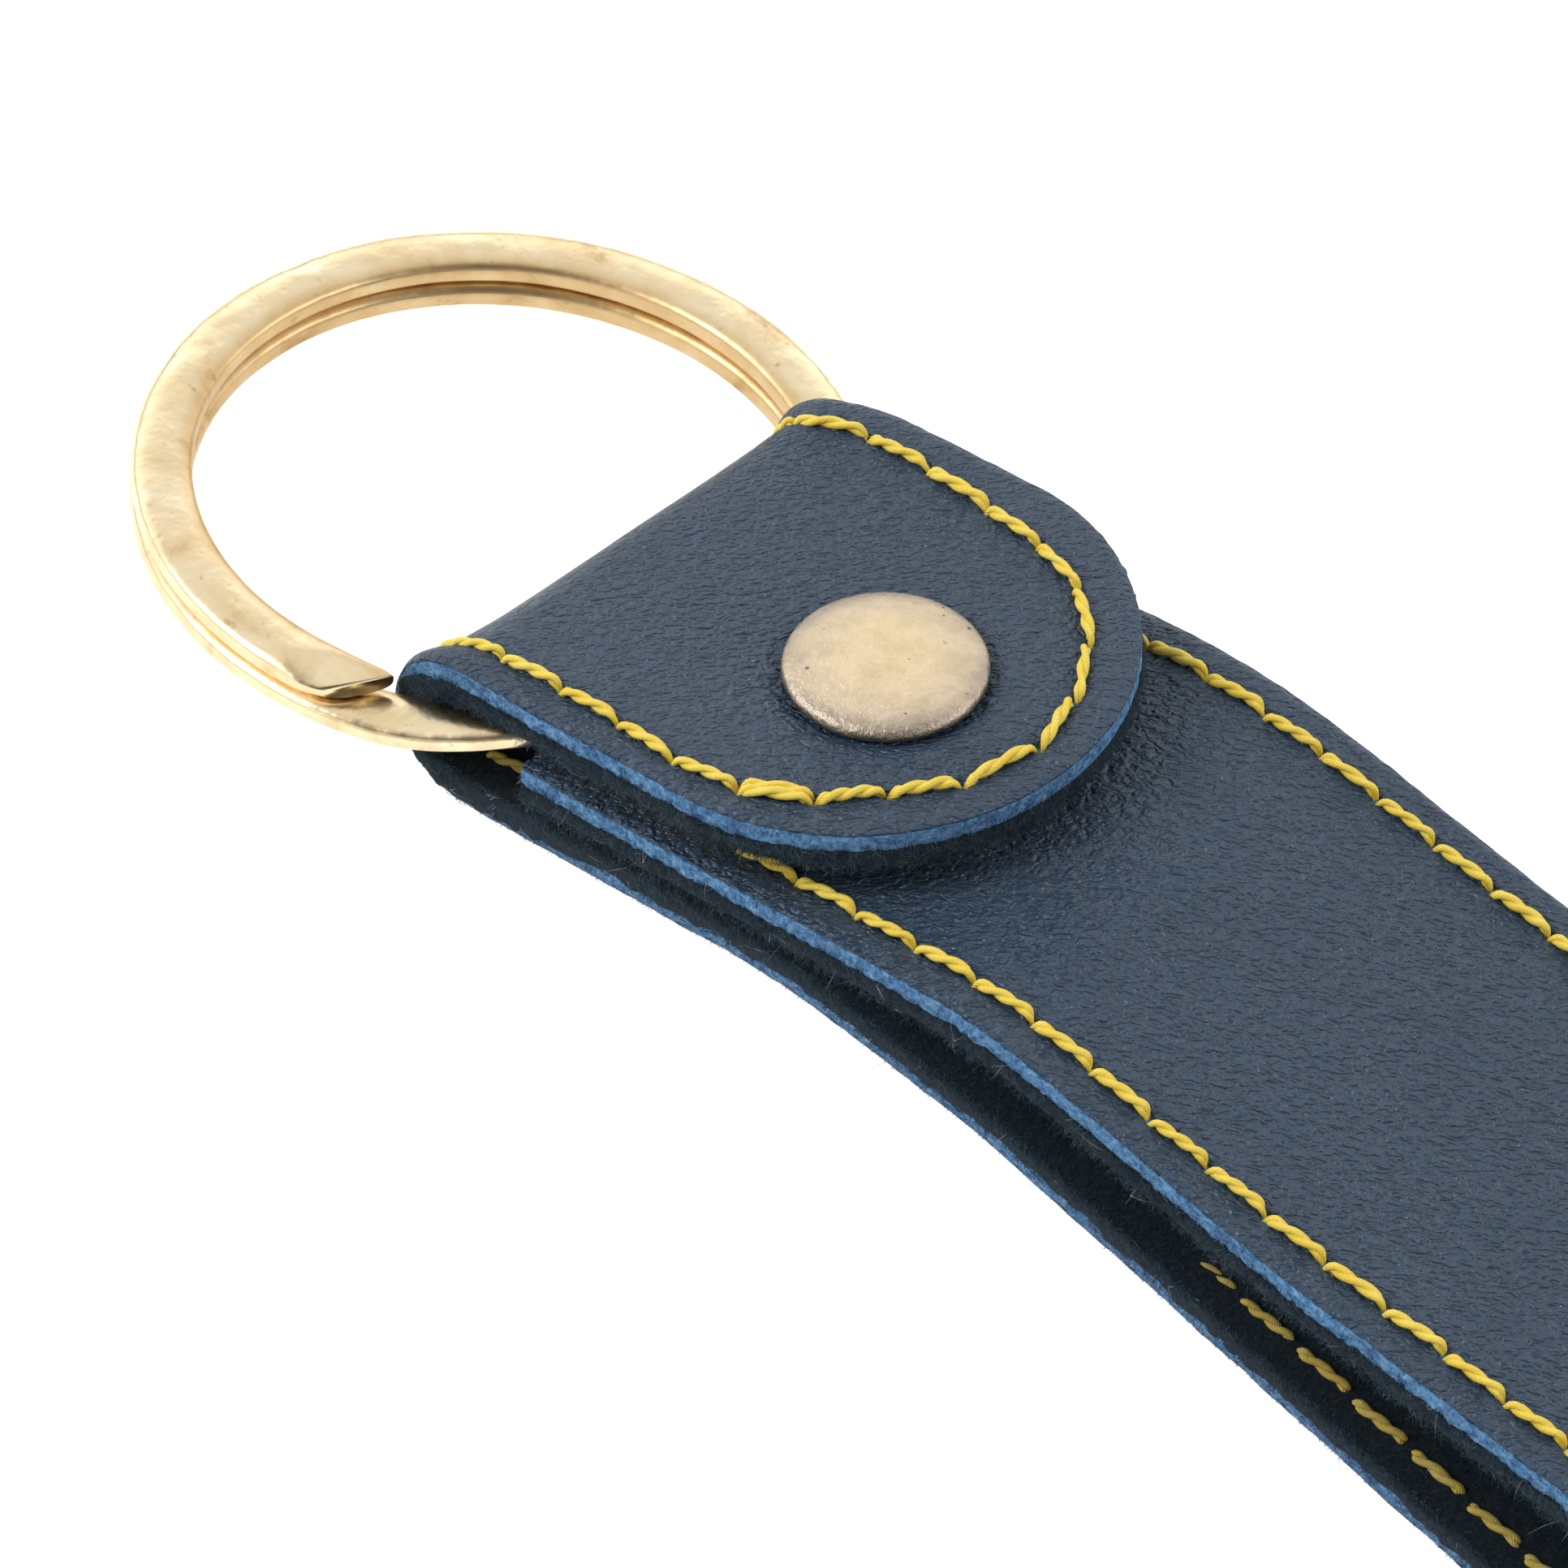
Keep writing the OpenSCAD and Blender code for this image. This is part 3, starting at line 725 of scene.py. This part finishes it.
# ---------------------------------------------------------------- materials
class Nodes:
    """A small helper for building the node tree of a material or of the world."""

    def __init__(self, name, owner=None, shader="Principled BSDF"):
        self.material = bpy.data.materials.new(name) if owner is None else owner
        self.material.use_nodes = True
        self.tree = self.material.node_tree
        self.shader = self.tree.nodes[shader]

    def put(self, value, socket):
        """Links an output to the socket, or sets the socket's own value."""
        if hasattr(value, "is_linked"):
            self.tree.links.new(value, socket)
        else:
            socket.default_value = value

    def add(self, kind, **values):
        node = self.tree.nodes.new(kind)
        for key, value in values.items():
            if hasattr(node, key):
                setattr(node, key, value)
            else:
                self.put(value, node.inputs[key.replace("_", " ")])
        return node

    def surface(self, **values):
        """Sets or links the shader's sockets, and gives the finished material."""
        for key, value in values.items():
            self.put(value, self.shader.inputs[key.replace("_", " ")])
        return self.material

    def noise(self, vector, scale, detail=3.0, roughness=0.5, distortion=0.0):
        node = self.add("ShaderNodeTexNoise", Vector=vector, Scale=scale, Detail=detail)
        self.put(roughness, node.inputs["Roughness"])
        self.put(distortion, node.inputs["Distortion"])
        return node.outputs["Fac"]

    def ramp(self, value, stops):
        """A colour ramp; a stop's colour is a triple, or one level of grey."""
        node = self.add("ShaderNodeValToRGB", Fac=value)
        elements = node.color_ramp.elements
        while len(elements) < len(stops):
            elements.new(0.5)
        for element, (at, colour) in zip(elements, stops):
            element.position = at
            element.color = (*(colour if isinstance(colour, tuple) else (colour,) * 3), 1)
        return node.outputs["Color"]

    def bump(self, height, strength, distance, normal=None):
        node = self.add("ShaderNodeBump", Strength=strength, Distance=distance, Height=height)
        if normal is not None:
            self.put(normal, node.inputs["Normal"])
        return node.outputs["Normal"]

    def mix(self, a, b, factor, kind="MULTIPLY"):
        node = self.add("ShaderNodeMix", data_type="RGBA", blend_type=kind)
        for value, at in ((factor, 0), (a, 6), (b, 7)):
            self.put((*value, 1) if isinstance(value, tuple) else value, node.inputs[at])
        return node.outputs[2]

    def math(self, kind, a, b=0.0):
        node = self.add("ShaderNodeMath", operation=kind)
        self.put(a, node.inputs[0])
        self.put(b, node.inputs[1])
        return node.outputs[0]

    def vector(self, kind, a, b):
        node = self.add("ShaderNodeVectorMath", operation=kind)
        self.put(a, node.inputs[0])
        self.put(b, node.inputs["Scale" if kind == "SCALE" else 1])
        return node.outputs

    def position(self):
        return self.add("ShaderNodeTexCoord").outputs["Object"]

    def uv(self):
        return self.add("ShaderNodeSeparateXYZ", Vector=self.add("ShaderNodeTexCoord").outputs["UV"]).outputs


def skin_material():
    m = Nodes("skin_navy_grain")
    p = m.position()
    wobble = m.add("ShaderNodeTexNoise", Vector=p, Scale=1500)
    warp = m.vector("ADD", p, m.vector("SCALE", wobble.outputs["Color"], 0.0005)[0])[0]
    cells = m.add("ShaderNodeTexVoronoi", feature="SMOOTH_F1", Vector=warp, Scale=2700, Smoothness=0.6)
    along = m.add("ShaderNodeMapping", vector_type="TEXTURE", Vector=warp, Rotation=(0, 0, 0.68))
    m.put((2.1, 1, 1), along.inputs["Scale"])
    grain = m.noise(along.outputs[0], 3300, 2.0, 0.5)
    crease = m.math("ABSOLUTE", m.math("SUBTRACT", m.noise(along.outputs[0], 2500, 1.0), 0.5))
    lumps = m.math("ADD", m.math("MULTIPLY", cells.outputs["Distance"], 0.3), grain)
    height = m.math("ADD", lumps, m.math("MULTIPLY", m.math("MINIMUM", crease, 0.12), 2.6))
    tone = m.ramp(m.noise(p, 90, 3.0, 0.6), [(0.3, (0.0205, 0.045, 0.083)), (0.7, (0.0250, 0.053, 0.094))])
    colour = m.mix(tone, m.ramp(grain, [(0.3, 0.9), (0.6, 1.0)]), 1.0)
    dust = m.ramp(m.noise(p, 5200, 0.0), [(0.855, 0.0), (0.875, 1.0)])
    return m.surface(
        Base_Color=m.mix(colour, (0.30, 0.34, 0.38), m.math("MULTIPLY", dust, 0.5), "MIX"),
        Roughness=m.ramp(m.noise(p, 260, 2.0), [(0.3, 0.36), (0.7, 0.46)]),
        Specular_IOR_Level=0.5,
        Normal=m.bump(height, 1.0, 0.00032),
    )


def foam_material():
    m = Nodes("foam_blue_cut")
    p = m.position()
    pores = m.noise(p, 3300, 4.0, 0.72)
    tone = m.ramp(pores, [(0.34, (0.022, 0.075, 0.175)), (0.5, (0.082, 0.225, 0.43)), (0.68, (0.20, 0.39, 0.62))])
    shade = m.ramp(m.noise(p, 900, 2.0), [(0.3, (0.82, 0.84, 0.88)), (0.7, (1.08, 1.05, 1.0))])
    normal = m.bump(pores, 1.0, 0.00028)
    return m.surface(Base_Color=m.mix(tone, shade, 1.0), Roughness=0.85, Specular_IOR_Level=0.3, Normal=normal)


def fleece_material():
    m = Nodes("fleece_black_brushed")
    pile = m.noise(m.position(), 3800, 4.0, 0.7, 0.6)
    dark, mid, light = (0.005, 0.013, 0.021), (0.013, 0.027, 0.040), (0.035, 0.055, 0.070)
    tone = m.ramp(pile, [(0.3, dark), (0.55, mid), (0.75, light)])
    normal = m.bump(pile, 1.0, 0.0004)
    return m.surface(Base_Color=tone, Roughness=1.0, Specular_IOR_Level=0.1, Sheen_Weight=0.06, Normal=normal)


def fibre_material(name, dark, light):
    m = Nodes(name)
    tone = m.ramp(m.noise(m.position(), 1400, 2.0), [(0.35, dark), (0.65, light)])
    return m.surface(Base_Color=tone, Roughness=0.8, Specular_IOR_Level=0.2)


def thread_material(name, shade=1.0):
    m = Nodes(name)
    uv = m.uv()
    turn = m.math("ADD", m.math("MULTIPLY", uv[1], 1.0), m.math("MULTIPLY", uv[0], 1.1))
    strands = m.math("SINE", m.math("MULTIPLY", turn, 2 * math.pi * 9))
    p = m.position()
    height = m.math("ADD", m.math("MULTIPLY", strands, 0.35), m.noise(p, 6000, 2.0))
    # A shade below 1 makes a darker copy of the thread: painted shade
    dark, light = (0.93 * shade, 0.67 * shade, 0.06), (0.99 * shade, 0.79 * shade, 0.13)
    tone = m.ramp(m.noise(p, 700, 2.0), [(0.3, dark), (0.7, light)])
    # Painted shade: the colour is darkened in the grooves between the strands, where shade falls
    groove = m.ramp(strands, [(0.0, (0.88, 0.84, 0.70)), (0.5, 1.0)])
    return m.surface(
        Base_Color=m.mix(tone, groove, 1.0),
        Roughness=0.38,
        Specular_IOR_Level=0.5,
        Subsurface_Weight=0.15,
        Subsurface_Radius=(0.0004, 0.0003, 0.0001),
        Normal=m.bump(height, 0.7, 0.00005),
    )


def ring_material():
    m = Nodes("ring_gold_plate")
    p = m.position()
    stain = m.noise(p, 330, 5.0, 0.62, 0.5)
    wear = m.noise(p, 1500, 4.0, 0.6)
    golds = [(0.30, (0.60, 0.44, 0.22)), (0.42, (0.79, 0.62, 0.37)), (0.60, (0.87, 0.72, 0.47))]
    tone = m.ramp(stain, golds + [(0.75, (0.91, 0.79, 0.57))])
    marks = m.ramp(wear, [(0.27, (0.55, 0.46, 0.34)), (0.36, 1.0)])
    # Painted shade: the wire's inner side is coloured darker, standing in for the dimmer light inside the ring;
    # it is also made duller
    across = m.uv()[0]
    inner = m.ramp(across, [(0.03, (0.74, 0.65, 0.52)), (0.12, (0.84, 0.77, 0.67)), (0.30, 1.0)])
    rough = m.ramp(stain, [(0.3, 0.30), (0.7, 0.17)])
    dull = m.ramp(across, [(0.05, 0.16), (0.28, 0.0)])
    low = m.bump(m.noise(p, 420, 3.0), 0.35, 0.0003)
    return m.surface(
        Base_Color=m.mix(m.mix(tone, inner, 1.0), marks, 0.6),
        Metallic=1.0,
        Roughness=m.math("ADD", rough, dull),
        Normal=m.bump(wear, 0.25, 0.00004, low),
    )


def brass_material(name):
    m = Nodes(name)
    p = m.position()
    patch = m.noise(p, 420, 5.0, 0.6, 0.4)
    tone = m.ramp(patch, [(0.28, (0.36, 0.27, 0.16)), (0.5, (0.60, 0.49, 0.31)), (0.72, (0.70, 0.60, 0.42))])
    pits = m.ramp(m.noise(p, 2600, 1.0), [(0.24, (0.35, 0.28, 0.2)), (0.30, 1.0)])
    rough = m.ramp(patch, [(0.3, 0.42), (0.7, 0.32)])
    normal = m.bump(m.noise(p, 3200, 3.0), 0.2, 0.00003)
    return m.surface(Base_Color=m.mix(tone, pits, 0.8), Metallic=1.0, Roughness=rough, Normal=normal)


def cap_material():
    """Antique brass: pale in the middle, darker and bluer towards the rim."""
    m = Nodes("cap_antique_brass")
    p = m.position()
    patch = m.noise(p, 380, 5.0, 0.6, 0.4)
    worn = m.math("ADD", m.uv()[0], m.math("MULTIPLY", m.math("SUBTRACT", patch, 0.5), 0.5))
    tone = m.ramp(worn, [(0.45, (0.79, 0.64, 0.42)), (0.80, (0.68, 0.56, 0.41)), (0.97, (0.44, 0.37, 0.30))])
    blot = m.ramp(m.noise(p, 900, 4.0, 0.65), [(0.3, (0.80, 0.78, 0.72)), (0.6, 1.0)])
    pits = m.ramp(m.noise(p, 2100, 1.0), [(0.235, (0.30, 0.22, 0.15)), (0.28, 1.0)])
    low = m.bump(m.noise(p, 1100, 3.0), 0.6, 0.0001)
    return m.surface(
        Base_Color=m.mix(m.mix(tone, blot, 0.8), pits, 0.85),
        Metallic=1.0,
        Roughness=m.ramp(patch, [(0.3, 0.40), (0.7, 0.30)]),
        Normal=m.bump(m.noise(p, 3000, 4.0, 0.7), 0.7, 0.00014, low),
    )


skin_mat = skin_material()
foam_mat = foam_material()
fleece_mat = fleece_material()
hair_mat = fibre_material("fleece_hair", (0.014, 0.033, 0.050), (0.070, 0.105, 0.130))
fuzz_mat = fibre_material("foam_fuzz", (0.08, 0.17, 0.33), (0.24, 0.33, 0.52))
lint_mat = fibre_material("lint", (0.30, 0.33, 0.36), (0.55, 0.57, 0.60))
thread_mat = thread_material("thread_yellow_twist")
# The bobbin thread is a darker copy of the same thread: painted shade, for stitches that lie in shadow under the
# fuzz
bobbin_mat = thread_material("bobbin_yellow_twist_shaded", 0.62)
ring_mat = ring_material()
cap_mat = cap_material()
brass_mat = brass_material("stud_antique_brass")
steel_mat = brass_material("post_plain_steel")


def on_flap(obj, slot, *nodes):
    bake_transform(obj)
    if nodes:
        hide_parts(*nodes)
    return obj


def on_strap(obj, slot, *nodes):
    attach(obj, "strap")
    if nodes:
        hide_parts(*nodes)
    return obj


flap_grid = flap_rows(0.16)
strap_grid = strap_rows(0.18, 0.9)
fine_flap = flap_rows(0.1)
fine_strap = strap_rows(0.1, 0.4)
on_flap(skin("flap_skin", flap_grid, 66, skin_mat, False), "skin", "flap_facing")
on_strap(skin("strap_skin", strap_grid, 42, skin_mat, True), "skin", "strap_facing")
on_flap(foam("flap_foam_edge", fine_flap, foam_mat, False), "foam_core", "flap_foam")
on_strap(foam("strap_foam_edge", fine_strap, foam_mat, True), "foam_core", "strap_foam")
on_flap(fleece("flap_fleece", flap_grid, 40, fleece_mat, False), "backing", "flap_backing")
on_strap(fleece("strap_fleece", strap_grid, 40, fleece_mat, True), "backing", "strap_backing")


for what, where, material in (("stitches", "outer", thread_mat), ("bobbin_stitches", "inner", bobbin_mat)):
    inside = where == "inner"
    flap_part = stitches(f"flap_{what}", all_seams, material, inside, lambda s: s < s_split)
    on_flap(flap_part, "thread", f"flap_{where}_thread")
    strap_part = stitches(f"strap_{what}", [near_seam, far_seam], material, inside, lambda s: s >= s_split)
    on_strap(strap_part, "thread", f"strap_{where}_thread")


def hair_roots(rows, count, seed, spread, side):
    """Random places on a panel's cut edge, with the way out of it."""
    r = np.random.default_rng(seed)
    so, yo, ns, ny = rows
    k = r.uniform(0, len(so) - 1.001, count)
    i = k.astype(int)
    f = k - i
    s = so[i] * (1 - f) + so[i + 1] * f
    y = yo[i] * (1 - f) + yo[i + 1] * f
    outs, outy = -ns[i], -ny[i]
    if side == 1:
        y, outy = -y, -outy
    d = r.uniform(spread[0], spread[1], count)
    return s, y, outs, outy, d, r


def edge_hairs(name, rows, count, seed, material, is_strap, side, spread, length, thick, curl):
    s, y, outs, outy, d, r = hair_roots(rows, count, seed, spread, side)
    if is_strap:
        s = tucked(s, y)
    root = place(s, y + outy * -0.04, d)
    tip = place(s + outs * 0.1, y + outy * 0.1, d)
    out = tip - root
    out /= np.linalg.norm(out, axis=1, keepdims=True)
    out = out + 0.75 * r.normal(size=out.shape)
    out /= np.linalg.norm(out, axis=1, keepdims=True)
    lengths, widths = r.uniform(*length, count), r.uniform(*thick, count)
    return fibres(name, root, out, lengths, widths, material, seed + 1, curl)


def face_hairs(name, s_range, count, seed, material, length, thick):
    """Hairs of the fleece's open face."""
    r = np.random.default_rng(seed)
    s = r.uniform(s_range[0], s_range[1], count)
    y = r.uniform(-half_w, half_w, count)
    root = place(s, y, np.full(count, laminate_t - 0.03))
    out = inward(s) + 0.9 * r.normal(size=root.shape)
    out /= np.linalg.norm(out, axis=1, keepdims=True)
    lengths, widths = r.uniform(*length, count), r.uniform(*thick, count)
    return fibres(name, root, out, lengths, widths, material, seed + 1, 0.8)


lower_part = tuple(v[strap_grid[0] < s_lower + seen_len] for v in strap_grid)
upper_part = tuple(v[strap_grid[0] > total_s - seen_len] for v in strap_grid)
seen_strap = tuple(np.concatenate(pair) for pair in zip(lower_part, upper_part))
# Each kind: its material, slot, thickness and curl
hair = (hair_mat, "backing", (0.010, 0.018), 0.7)
fuzz = (fuzz_mat, "foam_core", (0.010, 0.022), 0.7)
lint = (lint_mat, "backing", (0.008, 0.013), 1.1)
# Each piece: name, kind, rows, count, seed, side, range of depths, range of lengths
for name, kind, rows, count, seed, side, spread, length in (
    ("flap_hairs", hair, flap_grid, 9000, 101, -1, (1.0, 1.95), (0.2, 0.6)),
    ("flap_hairs_far", hair, flap_grid, 2500, 102, 1, (1.0, 1.95), (0.2, 0.55)),
    ("strap_hairs_lower", hair, lower_part, 9500, 103, -1, (0.7, 1.95), (0.12, 0.34)),
    ("strap_hairs_upper", hair, upper_part, 9500, 104, -1, (1.0, 1.95), (0.2, 0.65)),
    ("flap_foam_fuzz", fuzz, flap_grid, 3200, 106, -1, (0.3, 1.0), (0.06, 0.2)),
    ("strap_foam_fuzz_upper", fuzz, upper_part, 3600, 107, -1, (0.3, 1.0), (0.06, 0.22)),
    ("strap_foam_fuzz_lower", fuzz, lower_part, 3600, 108, -1, (0.2, 0.7), (0.05, 0.17)),
    ("strap_lint", lint, seen_strap, 110, 109, -1, (0.6, 1.9), (0.5, 1.3)),
):
    material, slot, thick, curl = kind
    is_strap = name.startswith("strap")
    piece = edge_hairs(name, rows, count, seed, material, is_strap, side, spread, length, thick, curl)
    (on_strap if is_strap else on_flap)(piece, slot)
inner_face = (s_lower, s_lower + 58)
inner = face_hairs("strap_hairs_inner", inner_face, 9500, 105, hair_mat, (0.15, 0.45), (0.010, 0.017))
on_strap(inner, "backing")


# ---------------------------------------------------------------- the split ring
ring_cut = math.radians(283)
climb_start = math.radians(288)
climb_end = math.radians(325)
ring_thin = 0.9
ring_raise = 0.27
ring_lean = 0.008


def ring_section(n=44):
    """The wire's rounded section, bulging at its sides: x outwards from the inner edge, z up."""
    h = wire_t / 2 + 0.03
    half = wire_w / 2 + 0.14
    out = []
    for k in range(n):
        a = 2 * math.pi * k / n
        c, q = math.cos(a), math.sin(a)
        x = half * math.copysign(abs(c) ** (0.86 if c > 0 else 0.72), c)
        z = h * math.copysign(abs(q) ** (0.68 if c > 0 else 0.52), q)
        out.append((wire_w / 2 + 0.08 + x, z))
    return out


def split_ring():
    section = np.array(ring_section())
    n = 900
    a = np.linspace(climb_end + math.radians(3) - 2 * math.pi, ring_cut + 2 * math.pi, n)
    u = smooth((a - climb_start) / (climb_end - climb_start))
    mid = (u - 0.5) * (wire_t + coil_gap)
    x = section[:, 0][None] + 0 * a[:, None]
    z = section[:, 1][None] + 0 * a[:, None]
    # Worn ends: the cut end is a little thinner, with a slanting face
    to_end = np.minimum(a - a[0], a[-1] - a)[:, None] * ring_inner
    pinch = 1 - 0.16 * np.clip(1 - to_end / 0.9, 0, 1) ** 2
    x = wire_w / 2 + (x - wire_w / 2) * pinch
    worn = 1 - 0.62 * smooth(1 - np.maximum(a[-1] - a[:, None], 0) * ring_inner / 2.4)
    z = np.where(z > 0, z * worn, z) * pinch
    slant = np.where(a[:, None] > 6, (0.5 - x / wire_w) * 0.17 + 0.045, 0)
    around = a[:, None] + slant * smooth(1 - to_end / 5)
    p = np.stack([np.cos(a)[:, None] * 15 + 0 * x, np.sin(a)[:, None] * 15 + x, z + a[:, None]], -1)
    x = x + 0.02 * noise(p, 4.0, 61) + 0.008 * noise(p, 0.9, 62)
    z = z + 0.018 * noise(p, 3.0, 63) + 0.008 * noise(p, 0.8, 64)
    r = ring_inner + x
    # The wire is a little thinner than its nominal size, and the ring lies a hair out of true
    z = ring_thin * (z + mid[:, None]) + ring_raise + ring_lean * r * np.cos(around - 2.25)
    local = np.stack([r * np.cos(around), r * np.sin(around), z], -1).reshape(-1, 3)
    quads, tris = tube_faces(n, len(section))
    uv = np.stack([section[:, 0][None] / wire_w + 0 * a[:, None], 0 * x + a[:, None]], -1).reshape(-1, 2)
    return local, quads, tris, uv


# The ring's own axes: z along its joint, x along the strap
ring_z = np.array(ring_axis)
ring_y = np.cross(ring_z, (1, 0, 0))
ring_y /= np.linalg.norm(ring_y)
ring_x = np.cross(ring_y, ring_z)
local, quads, tris, ring_uv = split_ring()
ring_verts = np.array(ring_centre) / MM + local @ np.stack([ring_x, ring_y, ring_z])
ring = make("split_ring_wire", ring_verts, [quads, tris], ring_mat, "ring", ring_uv)
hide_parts("split_ring")


# ---------------------------------------------------------------- the stud's cap
def cap_mesh():
    """A domed cap with a rolled rim, turned about the stud's axis."""
    rim = 4.45
    profile = [
        (0.0, 1.06), (0.35, 1.058), (0.8, 1.05), (1.3, 1.033), (1.8, 1.008), (2.3, 0.975), (2.8, 0.932),
        (3.2, 0.888), (3.6, 0.83), (3.9, 0.77), (4.1, 0.715), (4.25, 0.655), (4.35, 0.59), (4.41, 0.50),
        (4.44, 0.40), (rim, 0.30),
        (4.44, 0.20), (4.41, 0.13), (4.35, 0.09), (4.2, 0.08), (4.0, 0.10), (3.9, -0.10), (0.0, -0.10),
    ]
    n = 120
    ang = np.arange(n) * 2 * math.pi / n
    verts, uvs = [], []
    for r, z in profile:
        wob = 0.012 * noise2(np.cos(ang) * r, np.sin(ang) * r, 1.5, 71)
        verts.append(np.stack([r * np.cos(ang), r * np.sin(ang), z + wob * (r < 4.3)], -1))
        uvs.append(np.stack([np.full(n, r / rim), ang / 6.2832], -1))
    grid = np.concatenate(verts)
    rows = len(profile)
    quads, _ = tube_faces(rows, n, cap=False)
    keep, faces = weld(grid, [quads])
    return grid[keep], np.concatenate(uvs)[keep], faces


cap_lean = 0.035


def on_snap(points, z=0.0):
    """Points about the stud's axis, moved to where the folded end lies."""
    c, s = math.cos(rest_tilt), math.sin(rest_tilt)
    x = points[:, 0] + snap_x
    y = points[:, 1] + snap_y
    h = points[:, 2] + z - cap_lean * (0.63 * points[:, 0] - 0.776 * points[:, 1])
    return np.stack([x * c - h * s + shift_x, y, x * s + h * c + lift], -1)


verts, uvs, faces = cap_mesh()
cap = make("snap_cap_dome", on_snap(verts, 0.04), faces, cap_mat, "flap", uvs)
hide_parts("snap_cap")

# CAD nodes that show their own mesh
shown = {"cap_post": steel_mat, "snap_socket": brass_mat, "socket_spring": steel_mat}
shown |= {"snap_stud": brass_mat, "rear_post": brass_mat}
for name, material in shown.items():
    node = frame["nodes"][name]
    node.data.materials.clear()
    node.data.materials.append(material)

# ---------------------------------------------------------------- floor, light and camera
floor_mesh = bpy.data.meshes.new("floor")
floor_mesh.from_pydata([(-1.2, -1.2, 0), (1.2, -1.2, 0), (1.2, 1.2, 0), (-1.2, 1.2, 0)], [], [(0, 1, 2, 3)])
floor = bpy.data.objects.new("floor", floor_mesh)
floor.location.z = -0.0002
bpy.context.scene.collection.objects.link(floor)
white = Nodes("floor_white")
white.surface(Base_Color=(0.6, 0.6, 0.6, 1), Roughness=1.0, Specular_IOR_Level=0.0)
white.surface(Emission_Color=(1, 1, 1, 1), Emission_Strength=0.8)
floor_mesh.materials.append(white.material)

world = bpy.data.worlds.new("studio")
bpy.context.scene.world = world
sky = Nodes("studio", world, "Background")
direction = sky.add("ShaderNodeTexCoord").outputs["Generated"]
toward_front = sky.vector("DOT_PRODUCT", direction, (0.41, -0.52, 0.75))["Value"]
height = sky.add("ShaderNodeSeparateXYZ", Vector=direction).outputs[2]
# The sky's level from the floor up: a dark horizon line, a bright low band, then even
levels = [(0.0, 0.10), (0.06, 0.12), (0.12, 1.4), (0.36, 1.6), (0.49, 1.4), (0.56, 0.91), (0.62, 0.90)]
levels += [(0.75, 0.98), (1.0, 1.0)]
both = sky.mix(sky.ramp(toward_front, [(0.62, 1.0), (0.90, 0.12)]), sky.ramp(height, levels), 1.0)
sky.surface(Color=both, Strength=0.99)


def softbox(name, place_at, aim, width, height, power):
    light = bpy.data.lights.new(name, "AREA")
    light.shape = "RECTANGLE"
    light.size, light.size_y = width, height
    light.energy = power
    obj = bpy.data.objects.new(name, light)
    obj.location = place_at
    obj.rotation_mode = "QUATERNION"
    obj.rotation_quaternion = (Vector(aim) - Vector(place_at)).to_track_quat("-Z", "Y")
    bpy.context.scene.collection.objects.link(obj)
    return obj


middle = (-0.035, 0.0, 0.008)
softbox("key_front_left", (-0.50, -0.42, 0.42), middle, 0.35, 0.35, 2.6)
softbox("back_right", (0.55, 0.30, 0.45), middle, 0.4, 0.4, 1.4)

# The camera's angles about the folded end, its lens, aim and distance were fitted to the photo
focal_length = 260.87
camera_distance = 0.47623
aim_x, aim_y = 19.13, -9.137
azimuth, elevation, roll = (math.radians(v) for v in (39.08, 42.15, 0.14))
level = math.cos(elevation)
back = Vector((math.sin(azimuth) * level, -math.cos(azimuth) * level, math.sin(elevation)))
right = Vector((math.cos(azimuth), math.sin(azimuth), 0))
up = back.cross(right)
view_right = right * math.cos(roll) + up * math.sin(roll)
view_up = -right * math.sin(roll) + up * math.cos(roll)
tilt = Matrix.Rotation(-rest_tilt, 3, "Y")
aim = laid(aim_x, 0)
target = Vector((aim[0], aim_y, aim[1])) * MM
camera_data = bpy.data.cameras.new("camera")
camera_data.lens = focal_length
camera_data.sensor_width = 36
camera_data.clip_start, camera_data.clip_end = 0.01, 10
camera = bpy.data.objects.new("camera", camera_data)
bpy.context.scene.collection.objects.link(camera)
placed = Matrix((tilt @ view_right, tilt @ view_up, tilt @ back)).transposed().to_4x4()
placed.translation = target + (tilt @ back) * camera_distance
camera.matrix_world = placed
bpy.context.scene.camera = camera
bpy.context.scene.view_settings.view_transform = "Standard"
